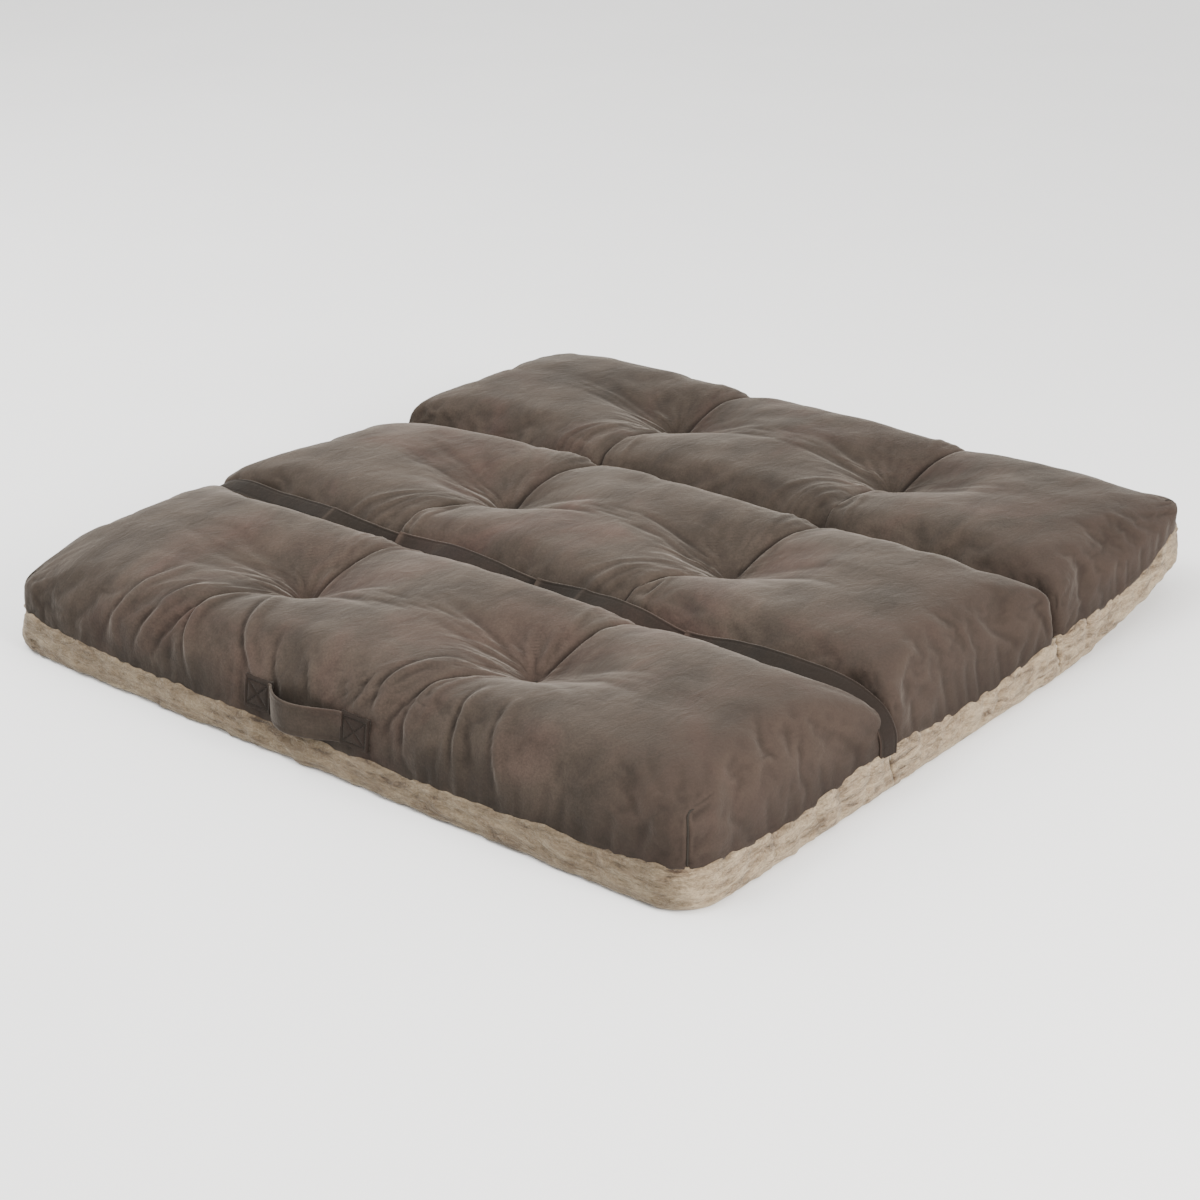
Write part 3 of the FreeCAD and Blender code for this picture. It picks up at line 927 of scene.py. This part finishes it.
def show_fills():
    """Each section's loose fibre: the cover's shape, drawn in a little, with a flat underside."""
    nx, ny, nz = (count // FILL_EVERY for count in COVER_COUNT)
    shares, faces, coarse = box_shell(nx, ny, nz, bottom=True)
    for name, cover in rough.items():
        points = points_at(*cover_places(name, shares), SEAM_Z)
        for place, index in coarse.items():
            fine = lattice.get(tuple(n * FILL_EVERY for n in place))
            if fine is not None:
                points[index] = cover[fine]
        points -= normals_of(points, faces) * FILL_INSET
        points[:, 2] = np.maximum(points[:, 2], SEAM_Z + 0.0005)
        points[:, 1] += SECTION_Y[name]
        piece = new_object(f"fill_{name}", bend_corners(points), faces, FIBRE)
        add_modifier(piece, "SUBSURF", levels=1, render_levels=1)
        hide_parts(f"fibre_fill_{name}")
        body_ride(piece, name)


rough, finished, lattice = make_covers()
show_covers()
show_fills()

# ---------------------------------------------------------------- plush trays and the pads in them

TRAY_COUNT = (300, 102, 16)  # lattice cells, as for the covers
BOTTOM_ROUND = 0.007  # radius of the tray's bottom edge
LIP_ROUND = 0.0065  # radius over which the pile rolls in to the seam
PILE_RISE = 0.0035  # how far the pile stands above the seam
PILE_PROUD = 0.003  # and out beyond the CAD tray's walls
WALL_LEAN = 0.0035  # how far the walls lean in
TRAY_CORNER = 0.047  # radius of the tray's upright corners
PLUSH_THICKNESS = 0.003
PLUSH_CREASE = 0.0032  # depth of the upright creases along the sides
FOLD_NOTCH = 0.005  # and of those at the fold lines
KNOT_PULL = 0.0034  # how far a tuft's knot pulls the underside up
PAD_COUNT = (60, 20, 4)
PAD_EDGE = 0.009  # radius of a pad's edges


def wall_profile(t, top):
    """How far out and how high a tray's wall is at a share of the way from the floor to the seam."""
    arc_low = BOTTOM_ROUND * math.pi / 2
    arc_high = LIP_ROUND * math.pi
    straight = top - BOTTOM_ROUND - LIP_ROUND
    run = t * (arc_low + straight + arc_high)
    low = np.clip(run / BOTTOM_ROUND, 0, math.pi / 2)
    mid = np.clip(run - arc_low, 0, straight)
    high = np.clip((run - arc_low - straight) / LIP_ROUND, 0, math.pi)
    out = PILE_PROUD - BOTTOM_ROUND * (1 - np.sin(low)) - LIP_ROUND * (1 - np.cos(high))
    out -= WALL_LEAN * (mid / straight) ** 1.5
    up = BOTTOM_ROUND * (1 - np.cos(low)) + mid + LIP_ROUND * np.sin(high)
    return out, up


def tray_points(name, shares):
    """The plush's outside: a flat underside and walls that round over at the floor and at the seam."""
    s, t, up = 2 * shares[:, 0] - 1, 2 * shares[:, 1] - 1, shares[:, 2]
    outer_y = OUTWARD[name]
    on_x = np.abs(s) == 1
    on_y = (t == outer_y) & (outer_y != 0)
    edge = on_x | on_y
    x = s * HALF_WIDTH
    y = SECTION_Y[name] + t * HALF_PITCH
    corner_x, corner_y = HALF_WIDTH - TRAY_CORNER, HALF_DEPTH - TRAY_CORNER
    over_x = np.maximum(np.abs(x) - corner_x, 0)
    over_y = np.maximum(outer_y * y - corner_y, 0)
    reach = np.hypot(over_x, over_y)
    far = np.maximum(over_x, over_y)
    shrink = np.where((over_x > 0) & (over_y > 0), far / np.maximum(reach, 1e-9), 1)
    x = np.where(over_x > 0, np.sign(x) * (corner_x + over_x * shrink), x)
    y = np.where(over_y > 0, outer_y * (corner_y + over_y * shrink), y)
    out_x = np.where(over_y > 0, over_x * shrink, on_x * TRAY_CORNER) * np.sign(s)
    out_y = np.where(over_x > 0, over_y * shrink, on_y * TRAY_CORNER) * outer_y
    normal = points_at(out_x, out_y, 0)
    size = np.linalg.norm(normal, axis=1, keepdims=True)
    normal = np.divide(normal, size, out=np.zeros_like(normal), where=size > 1e-9)
    top = seam_height(x, y) + PILE_RISE
    top = top + 0.0006 * waves(points_at(x, y, 0), 0.05, 5)
    rim_out, rim_up = wall_profile(up, top)
    from_rim = TRAY_CORNER - np.hypot(over_x, over_y) * shrink
    draw_in = (PILE_PROUD - BOTTOM_ROUND) * (1 - smooth_step(from_rim, 0, 0.9 * TRAY_CORNER))
    inward = points_at(over_x * np.sign(s), over_y * outer_y, 0)
    inward /= np.maximum(np.linalg.norm(inward, axis=1, keepdims=True), 1e-9)
    points = points_at(x, y, np.where(edge, rim_up, 0))
    way = np.where(edge[:, None], normal, inward)
    return points + np.where(edge, rim_out, draw_in)[:, None] * way, edge


def pile(points, normals, edge, up):
    """The clumps and creases of the pile, pushed out of the smooth shape."""
    clump = waves(points, 0.011, 21, stretch=(2.6, 2.0, 0.6)) * waves(points, 0.035, 22)
    streak = waves(points, 0.007, 24, stretch=(3.0, 3.0, 0.7))
    push = 0.0008 * clump + 0.0009 * streak + 0.0009 * waves(points, 0.05, 23)
    along = points[:, 1]
    rng = np.random.default_rng(8)
    on_side = edge & (np.abs(normals[:, 0]) > 0.5)
    place = -HALF_DEPTH
    while place < HALF_DEPTH:
        place += rng.uniform(0.024, 0.055)
        lean = rng.uniform(-0.4, 0.9)
        deep = rng.uniform(0.4, 1)
        off = np.abs(along - place - lean * (points[:, 2] - 0.02))
        push -= on_side * deep * PLUSH_CREASE * np.exp(-off / 0.0042)
    for sign in (-1, 1):
        off = np.abs(along - sign * FOLD_Y)
        push -= on_side * FOLD_NOTCH * np.exp(-off / 0.0045) * smooth_step(up, 0.1, 0.5)
    return push


def show_trays():
    for name in SECTIONS:
        shares, faces, _ = box_shell(*TRAY_COUNT, top=False, bottom=True, y_walls=[OUTWARD[name]])
        points, edge = tray_points(name, shares)
        normals = normals_of(points, faces)
        up = shares[:, 2]
        fade = np.where(edge, smooth_step(up, 0, 0.15) * (1 - smooth_step(up, 0.92, 1)), 0.3)
        points += normals * (pile(points, normals, edge, up) * fade)[:, None]
        for side in (-1, 1):
            reach = from_tuft(points[:, 0], points[:, 1] - SECTION_Y[name], side)
            points[:, 2] += KNOT_PULL * np.exp(-((reach / 0.018) ** 1.2)) * ~edge
        points[:, 2] = np.maximum(points[:, 2], 0.0)
        piece = new_object(f"tray_{name}", bend_corners(points), faces, PLUSH)
        add_modifier(piece, "SOLIDIFY", thickness=PLUSH_THICKNESS, offset=-1)
        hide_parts(f"plush_tray_{name}")
        body_ride(piece, name)


def show_pads():
    """The bonded pad in the bottom of each section, a soft-edged slab."""
    for name in SECTIONS:
        low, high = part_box(f"base_pad_{name}")
        shares, faces, _ = box_shell(*PAD_COUNT, bottom=True)
        centre, half = (np.array(low) + np.array(high)) / 2, (np.array(high) - np.array(low)) / 2
        half -= (0.016, 0.0006, 0.006)
        centre[2] -= 0.003
        raw = (shares * 2 - 1) * half
        inner = np.clip(raw, PAD_EDGE - half, half - PAD_EDGE)
        out = raw - inner
        length = np.maximum(np.linalg.norm(out, axis=1, keepdims=True), 1e-9)
        points = centre + np.where(length > 1e-8, inner + out / length * PAD_EDGE, raw)
        points += normals_of(points, faces) * (0.0005 * waves(points, 0.04, 31))[:, None]
        piece = new_object(f"pad_{name}", bend_corners(points), faces, PAD)
        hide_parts(f"base_pad_{name}")
        body_ride(piece, name)


show_trays()
show_pads()

# ---------------------------------------------------------------- tufts and darts

THREAD_RADIUS = 0.0006
THREAD_TWIST = 22  # how far the two strands of a tie twist, as an angle
COIL_TWIST = 20  # and how far its lower knot is coiled
KNOT_HALF = 0.0042  # half the length of its upper knot
TAIL_LENGTH = 0.006  # of that knot's two ends
DART_RADIUS = 0.0011
DART_RISE = 0.0001  # how far a dart's middle stands off the velvet
skins = {name: BVHTree.FromPolygons(points.tolist(), faces) for name, (points, faces) in finished.items()}


def on_skin(name, place):
    """The nearest place on a cover's outside, raised off it by a small amount."""
    found, normal, _, _ = skins[name].find_nearest(Vector(place))
    return found + normal * DART_RISE


def tie_parts(x, y, top, foot):
    """A looped knot in the dimple, two strands down through the stuffing, and a coiled knot underneath."""
    turn = np.linspace(0, 2 * math.pi, 40, endpoint=False)
    across = y + 0.0017 * np.sin(2 * turn)
    loops = points_at(x + KNOT_HALF * np.sin(turn), across, top + THREAD_RADIUS * np.cos(3 * turn))
    turn = np.linspace(0, 2 * math.pi, 12, endpoint=False)
    wrap = points_at(x, y + 0.0012 * np.cos(turn), top + 0.0011 * np.sin(turn))
    parts = [tube_mesh(loops, THREAD_RADIUS, closed=True), tube_mesh(wrap, 1.2 * THREAD_RADIUS, closed=True)]
    down = np.linspace(0, 1, 60)
    for strand in (0, math.pi):
        twist = strand + down * THREAD_TWIST
        out_x, out_y = THREAD_RADIUS * np.cos(twist), THREAD_RADIUS * np.sin(twist)
        path = points_at(x + out_x, y + out_y, top + down * (foot - top))
        parts.append(tube_mesh(path, THREAD_RADIUS, sides=6))
    tail = np.linspace(0, 1, 10)
    for end in (-1, 1):
        out_x, out_y = end * 0.0015 * tail, end * TAIL_LENGTH * tail
        path = points_at(x + out_x, y + out_y, top + 0.0016 * np.sin(3 * tail))
        parts.append(tube_mesh(path, THREAD_RADIUS * (1 - 0.3 * tail), sides=6))
    coil = np.linspace(0, 1, 70)
    out = 0.0009 + 0.0032 * coil
    out_x, out_y = out * np.cos(coil * COIL_TWIST), out * np.sin(coil * COIL_TWIST)
    path = points_at(x + out_x, y + out_y, foot + 0.0004 * np.sin(coil * 34))
    parts.append(tube_mesh(path, THREAD_RADIUS, sides=6))
    return joined(parts)


def show_ties():
    for name in SECTIONS:
        for side in SIDES:
            node = f"tuft_tie_{name}_{side}"
            centre = centre_of(node)
            top = skins[name].ray_cast(Vector((centre.x, centre.y, 0.2)), Vector((0, 0, -1)))[0].z
            parts = tie_parts(centre.x, centre.y, top + 0.0008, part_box(node)[0].z + 0.0008)
            piece = new_object(f"tie_{name}_{side}", *parts, THREAD)
            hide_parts(node)
            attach(piece, name)


def show_shaded_dart_seams():
    """The stitched line up each corner of the bed, hooked over at its top: a dark thread that also stands in
    for the shade in the seam.
    """
    levels = range(COVER_COUNT[2])
    for name, j in (("front", 0), ("back", COVER_COUNT[1])):
        for side, i in zip(SIDES, (0, COVER_COUNT[0])):
            column = np.array([rough[name][lattice[i, j, k]] for k in levels])
            path = [on_skin(name, place) for place in in_bed(name, column)]
            top = path[-1]
            for inwards, rise in ((0.004, 0.004), (0.009, 0.003)):
                path.append(on_skin(name, top + Vector((0, -OUTWARD[name] * inwards, rise))))
            thin = np.array([0.7] + [1.0] * (len(path) - 2) + [0.4])
            tube = tube_mesh([tuple(p) for p in path], DART_RADIUS * thin)
            piece = new_object(f"dart_{name}_{side}", *tube, THREAD)
            add_modifier(piece, "SUBSURF", levels=1, render_levels=1)
            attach(piece, name)


show_ties()
show_shaded_dart_seams()

# ---------------------------------------------------------------- ribbons: the band and the carry strap

LOOP_POINTS = 44  # round a ribbon's section
BAND_HEM = 0.0035  # from the band's edges in to its stitches
STRAP_HEM = 0.0045  # and from the carry strap's edges


def section_loop(width, thickness, hem):
    """A flat ribbon's section: rounded folded edges, and a stitched groove a little in from each."""
    turn = np.linspace(0, 2 * math.pi, LOOP_POINTS, endpoint=False)
    across = np.sign(np.cos(turn)) * np.abs(np.cos(turn)) ** 0.55 * width / 2
    rise = np.sign(np.sin(turn)) * np.abs(np.sin(turn)) ** 0.45 * thickness / 2
    groove = bell(np.abs(across) - (width / 2 - hem), 0.0009)
    bead = bell(np.abs(across) - (width / 2 - 0.45 * hem), 0.0012)
    return across, rise * (1 - 0.40 * groove + 0.25 * bead)


def ribbon_faces(centres, across):
    """Which way a ribbon's face looks at each point of its middle line: to the left of across."""
    face = np.cross(np.gradient(centres, axis=0), across)
    return face / np.linalg.norm(face, axis=1, keepdims=True)


def ribbon(centres, across, widths, thickness, hem):
    """A ribbon along a line, with the way across it and its width given at each point."""
    face = ribbon_faces(centres, across)
    count = len(centres)
    points = []
    for centre, way, normal, width in zip(centres, across, face, np.broadcast_to(widths, count)):
        offset, rise = section_loop(width, thickness, hem)
        points.append(centre + offset[:, None] * way + rise[:, None] * normal)
    faces = []
    for i in range(count - 1):
        for s in range(LOOP_POINTS):
            t = (s + 1) % LOOP_POINTS
            row, after = i * LOOP_POINTS, (i + 1) * LOOP_POINTS
            faces.append((row + s, after + s, after + t, row + t))
    half = LOOP_POINTS // 2
    for row, flip in ((0, 1), ((count - 1) * LOOP_POINTS, -1)):
        for s in range(half - 1):
            a, b = row + s, row + s + 1
            c, d = row + LOOP_POINTS - 1 - s, row + (LOOP_POINTS - s) % LOOP_POINTS
            faces.append((a, b, c, d)[::flip])
        faces.append((row + half - 1, row + half, row + half + 1)[::flip])
    return np.concatenate(points), faces


def mark_painted_light(piece, width, flat, lit=0.0):
    """Marks the painted light on a ribbon: how light its flat is, painted highlights on its two folded
    edges, and rings of painted light across it.
    """
    across, _ = section_loop(width, BAND_THICKNESS, BAND_HEM)
    edge = smooth_step(np.abs(across), width / 2 - 0.0016, width / 2 - 0.0004)
    rings = len(piece.data.vertices) // LOOP_POINTS
    along = np.repeat(np.broadcast_to(lit, rings), LOOP_POINTS)
    light = np.maximum(np.tile(np.maximum(edge, flat), rings), along)
    marks = piece.data.attributes.new("hem", "FLOAT", "POINT")
    marks.data.foreach_set("value", light.astype(np.float32))


# the band's far edge: X, Y and Z, how far the band leans back from upright, and its width
BAND_STATIONS = (
    (-0.446, -0.152, 0.078, 0, 0.027),
    (-0.425, -0.151, 0.093, 8, 0.028),
    (-0.340, -0.151, 0.100, 18, 0.026),
    (-0.265, -0.152, 0.101, 22, 0.026),
    (-0.1585, -0.154, 0.098, 44, 0.026),
    (-0.100, -0.152, 0.102, 24, 0.026),
    (-0.030, -0.152, 0.100, 24, 0.026),
    (0.0305, -0.154, 0.096, 46, 0.026),
    (0.085, -0.152, 0.100, 24, 0.026),
    (0.160, -0.152, 0.099, 26, 0.026),
    (0.2195, -0.155, 0.092, 48, 0.026),
    (0.280, -0.153, 0.099, 28, 0.026),
    (0.350, -0.152, 0.100, 22, 0.026),
    (0.422, -0.152, 0.091, 10, 0.026),
    (0.446, -0.152, 0.077, 0, 0.025),
)
BAND_SIDE = 0.4570  # the X of the band's far edge where it lies against the bed's sides
BAND_TILT = 0.14  # how far its near edge is drawn in there, as a slope
BAND_THICKNESS = 0.0030
BAND_STEP = 0.003
PLEAT_PROUD = 0.0050  # how far a span's start stands out in front of the end of the span before it
PLEAT_SUNK = 0.0030  # how far that end is pushed back
CROSS_CREASES = (-0.262, 0.087)  # where the band is creased from edge to edge, along X
TACK_TURNS = 4
TACK_HALF = 0.0022  # half the width of a tack's turn
TACK_RADIUS = 0.00045


def curve_through(stations, count):
    """Values read along a smooth curve through the stations, evenly by distance."""
    stations = np.asarray(stations, float)
    gaps = np.linalg.norm(np.diff(stations[:, :3], axis=0), axis=1)
    at = np.concatenate([[0], np.cumsum(gaps)])
    slope = np.gradient(stations, at, axis=0)
    where = np.linspace(0, at[-1], count)
    k = np.clip(np.searchsorted(at, where, side="right") - 1, 0, len(at) - 2)
    gap = (at[k + 1] - at[k])[:, None]
    t = ((where - at[k]) / (at[k + 1] - at[k]))[:, None]
    ahead = t * t * (3 - 2 * t)
    return (
        stations[k] * (1 - ahead)
        + stations[k + 1] * ahead
        + slope[k] * gap * t * (1 - t) ** 2
        - slope[k + 1] * gap * t * t * (1 - t)
    )


def band_line():
    """The band's middle line, the way across it, and its width, from the left seam to the right one."""
    left = ((-BAND_SIDE - 0.001, -0.152, 0.038, 0, 0.023), (-BAND_SIDE, -0.152, 0.060, 0, 0.024))
    right = ((BAND_SIDE, -0.153, 0.060, 0, 0.024), (BAND_SIDE + 0.001, -0.153, 0.038, 0, 0.023))
    stations = left + BAND_STATIONS + right
    reach = sum(math.dist(a[:3], b[:3]) for a, b in zip(stations, stations[1:]))
    line = curve_through(stations, int(reach / BAND_STEP))
    lean = np.radians(line[:, 3])
    tilt = BAND_TILT * np.sign(line[:, 0]) * smooth_step(np.abs(line[:, 0]), 0.43, 0.455)
    across = points_at(tilt, np.cos(lean), np.sin(lean))
    across /= np.linalg.norm(across, axis=1, keepdims=True)
    return line[:, :3] - across * line[:, 4:5] / 2, across, line[:, 4]


def show_band():
    """The band, in spans that lap over one another at the tacks."""
    centres, across, widths = band_line()
    face = ribbon_faces(centres, across)
    tacks = [centre_of(f"band_tack_{n}").x for n in (1, 2, 3)]
    x = centres[:, 0]
    for crease in CROSS_CREASES:
        centres = centres + face * (0.0014 * np.exp(-np.abs(x - crease) / 0.004))[:, None]
    centres = centres + face * (0.0007 * waves(centres, 0.05, 91))[:, None]
    upper = (centres[:, 2] > 0.06) | (np.abs(x) < 0.45)
    marks = [-1.0] + tacks + [1.0]
    spans, lit = [], []
    for first, last in zip(marks, marks[1:]):
        inside = (x > first - 0.003) & (x < last + 0.002)
        at = x[inside]
        proud = np.exp(-(at - first) / 0.014) * PLEAT_PROUD if first in tacks else 0
        sunk = np.exp(-(last - at) / 0.010) * PLEAT_SUNK if last in tacks else 0
        creased = np.max([bell(at - crease, 0.002) for crease in CROSS_CREASES], axis=0)
        # painted highlights: light lines across the band at each tack, and fainter ones at the cross creases
        lit.append(np.maximum(bell(at - first, 0.0035), 0.6 * creased))
        line = centres[inside] + face[inside] * np.broadcast_to(proud - sunk, at.shape)[:, None]
        spans.append(ribbon(line, across[inside], widths[inside], BAND_THICKNESS, BAND_HEM))
    piece = new_object("band", *joined(spans), STRAP_VELVET)
    mark_painted_light(piece, widths.mean(), 0.0, np.concatenate(lit))
    sharpen(piece)
    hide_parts("gutter_band")
    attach(piece, "middle")
    for which, tack in enumerate(tacks, 1):
        at = int(np.argmin(np.abs(x - tack) + (~upper) * 1.0))
        show_tack(which, centres[at], across[at], face[at])


def show_tack(which, centre, across, face):
    """A few turns of thread round the band's lower half, where it is caught down."""
    parts = []
    swing = np.linspace(0, 2 * math.pi, 14, endpoint=False)
    for turn in range(TACK_TURNS):
        start = centre - across * (0.0105 - 0.0022 * turn) + (0.0003 * turn, 0, 0)
        path = (
            start
            + np.cos(swing)[:, None] * (TACK_HALF, 0, 0)
            + np.sin(swing)[:, None] * face * (BAND_THICKNESS / 2 + PLEAT_PROUD + 0.0004)
        )
        parts.append(tube_mesh(path, TACK_RADIUS, sides=6, closed=True))
    piece = new_object(f"tack_{which}", *joined(parts), THREAD)
    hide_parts(f"band_tack_{which}")
    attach(piece, "middle")


show_band()

# ---------------------------------------------------------------- carry handle

STRAP_THICKNESS = 0.0026
STRAP_LEAN = math.radians(5)  # how far the free strap leans out at its middle
TAB_COUNT = (52, 1, 46)
STITCH_INSET = 0.0040  # from a tab's edges to its box of stitches
STITCH_LENGTH = 0.0026
STITCH_GAP = 0.0009
STITCH_RADIUS = 0.00038


def handle_wall():
    """The front cover's wall where the handle is sewn on, as a smooth function of X and Z giving Y."""
    low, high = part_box("handle_tab_left")[0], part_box("handle_tab_right")[1]
    places, depths = [], []
    for x in np.linspace(low.x, high.x, 25):
        for z in np.linspace(low.z, high.z, 7):
            hit = skins["front"].ray_cast(Vector((x, -0.6, z)), Vector((0, 1, 0)))[0]
            places.append((1, x, z, x * x, z * z, x * z))
            depths.append(hit.y)
    fit, *_ = np.linalg.lstsq(np.array(places), np.array(depths), rcond=None)
    a, b, c, d, e, f = fit
    return lambda x, z: a + b * x + c * z + d * x * x + e * z * z + f * x * z


def box_cross(low, high):
    """The lines of a boxed cross of stitches, as pairs of (X, Z) ends."""
    a, b = (low.x + STITCH_INSET, low.z + STITCH_INSET), (high.x - STITCH_INSET, low.z + STITCH_INSET)
    c, d = (high.x - STITCH_INSET, high.z - STITCH_INSET), (low.x + STITCH_INSET, high.z - STITCH_INSET)
    return [(a, b), (b, c), (c, d), (d, a), (a, c), (b, d)]


def line_distance(x, z, line):
    """How far each place on a tab is from one of its lines of stitches."""
    (x0, z0), (x1, z1) = line
    length = math.hypot(x1 - x0, z1 - z0)
    along = np.clip(((x - x0) * (x1 - x0) + (z - z0) * (z1 - z0)) / length**2, 0, 1)
    return np.hypot(x - x0 - along * (x1 - x0), z - z0 - along * (z1 - z0))


def tab_face(x, z, low, high, wall):
    """The Y of a tab's outer face: pillowed between its stitches, and rounded at its edges."""
    near_line = np.min([line_distance(x, z, line) for line in box_cross(low, high)], axis=0)
    from_edge = np.minimum.reduce([x - low.x, high.x - x, z - low.z, high.z - z])
    edge = np.sqrt(np.clip(1 - (1 - np.clip(from_edge / 0.0018, 0, 1)) ** 2, 0, 1))
    rise = STRAP_THICKNESS * (0.45 + 0.55 * edge) + 0.0005 * smooth_step(near_line, 0, 0.004)
    return wall(x, z) - rise + 0.0009 * bell(near_line, 0.0008)


def show_tab(side, wall):
    """One of the strap's sewn ends, and the stitches on it."""
    low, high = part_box(f"handle_tab_{side}")
    shares, faces, _ = box_shell(*TAB_COUNT, bottom=True)
    x = low.x + shares[:, 0] * (high.x - low.x)
    z = low.z + shares[:, 2] * (high.z - low.z)
    y = np.where(shares[:, 1] == 0, tab_face(x, z, low, high, wall), wall(x, z) + 0.0010)
    piece = new_object(f"tab_{side}", points_at(x, y, z), faces, STRAP_VELVET)
    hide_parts(f"handle_tab_{side}")
    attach(piece, "front")
    parts = []
    for (x0, z0), (x1, z1) in box_cross(low, high):
        length = math.hypot(x1 - x0, z1 - z0)
        count = round(length / (STITCH_LENGTH + STITCH_GAP))
        for n in range(count):
            share = (n + np.linspace(0.13, 0.87, 5)) / count
            sx, sz = x0 + share * (x1 - x0), z0 + share * (z1 - z0)
            sy = tab_face(sx, sz, low, high, wall) - 0.0003 * np.sin(np.linspace(0, math.pi, 5))
            parts.append(tube_mesh(points_at(sx, sy, sz), STITCH_RADIUS, sides=6))
    piece = new_object(f"stitches_{side}", *joined(parts), THREAD)
    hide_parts(f"handle_stitch_{side}")
    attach(piece, "front")


def show_strap(wall):
    """The free strap, in two halves that each bend out of the sewn end on their side."""
    low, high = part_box("handle_strap")
    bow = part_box("handle_tab_left")[1].y - low.y
    middle = (low.z + high.z) / 2
    half_span = high.x
    for side, sign in zip(SIDES, (-1, 1)):
        x = np.linspace(sign * (half_span + 0.003), 0, 34)
        share = np.clip((x + half_span) / (2 * half_span), 0, 1)
        out = (bow - 0.004) * np.sin(math.pi * share**0.72) ** 1.25
        y = wall(x, middle) - STRAP_THICKNESS * 0.55 - out
        droop = -0.0015 * np.sin(math.pi * share)
        lean = STRAP_LEAN * np.sin(math.pi * share)
        across = points_at(0, -np.sin(lean) * sign, -sign * np.cos(lean))
        centres = points_at(x, y, middle + droop)
        parts = ribbon(centres, across, high.z - low.z, STRAP_THICKNESS, STRAP_HEM)
        piece = new_object(f"strap_{side}", *parts, STRAP_VELVET)
        # painted light: the strap's flat lighter than the band's
        mark_painted_light(piece, high.z - low.z, 0.5)
        sharpen(piece)
        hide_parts("handle_strap")
        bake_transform(piece)


def show_handle():
    wall = handle_wall()
    for side in SIDES:
        show_tab(side, wall)
    show_strap(wall)


show_handle()

# ---------------------------------------------------------------- the CAD nodes that stay


def line_dividers():
    """The strips of lining that part one section's filling from the next keep their CAD shape."""
    for name in ("gutter_divider_front", "gutter_divider_back"):
        node = frame["nodes"][name]
        node.data.materials.clear()
        node.data.materials.append(LINING)


line_dividers()

# ---------------------------------------------------------------- camera, lights and floor

# the photo's camera, as read from the bed's edges and tufts in it
VIEW_AZIMUTH = math.radians(39.02)
VIEW_ELEVATION = math.radians(23.51)
VIEW_DISTANCE = 2.710
VIEW_TARGET = Vector((-0.0302, 0.0155, 0.0))
VIEW_LENS = 74.5


def aim(thing, place, target):
    """Puts a camera or a light at a place, looking at a target."""
    thing.location = place
    thing.rotation_mode = "QUATERNION"
    thing.rotation_quaternion = (Vector(target) - Vector(place)).to_track_quat("-Z", "Y")


def add_camera():
    data = bpy.data.cameras.new("camera")
    data.lens = VIEW_LENS
    camera = bpy.data.objects.new("camera", data)
    bpy.context.scene.collection.objects.link(camera)
    level = math.cos(VIEW_ELEVATION)
    east, south = math.sin(VIEW_AZIMUTH) * level, math.cos(VIEW_AZIMUTH) * level
    back = Vector((east, -south, math.sin(VIEW_ELEVATION)))
    aim(camera, VIEW_TARGET + back * VIEW_DISTANCE, VIEW_TARGET)
    bpy.context.scene.camera = camera


def add_light(name, place, power, size, colour=(1, 1, 1)):
    data = bpy.data.lights.new(name, "AREA")
    data.energy = power
    data.size = size
    data.color = colour
    light = bpy.data.objects.new(name, data)
    bpy.context.scene.collection.objects.link(light)
    aim(light, place, (0, 0, 0.05))


def add_stage():
    half = 6
    corners = [(-half, -half, 0), (half, -half, 0), (half, half, 0), (-half, half, 0)]
    floor = new_object("floor", corners, [(0, 1, 2, 3)])
    n = Nodes("pale_floor")
    shade = n.noise(3, detail=2)
    floor.data.materials.append(n.finish(n.ramp(shade, (0.3, 0.89), (0.7, 0.91)), 0.8))
    floor.location.z = -0.0006
    world = bpy.data.worlds.new("studio")
    world.use_nodes = True
    world.node_tree.nodes["Background"].inputs["Color"].default_value = (1, 0.99, 0.97, 1)
    world.node_tree.nodes["Background"].inputs["Strength"].default_value = 1.6
    bpy.context.scene.world = world


add_camera()
add_light("key", (2.7, -0.45, 1.3), 132, 1.3, (1, 0.97, 0.93))
add_light("back", (-2.5, -0.2, 2.1), 36, 1.5)
add_light("top", (-0.9, -1.45, 2.9), 84, 1.5)
add_stage()
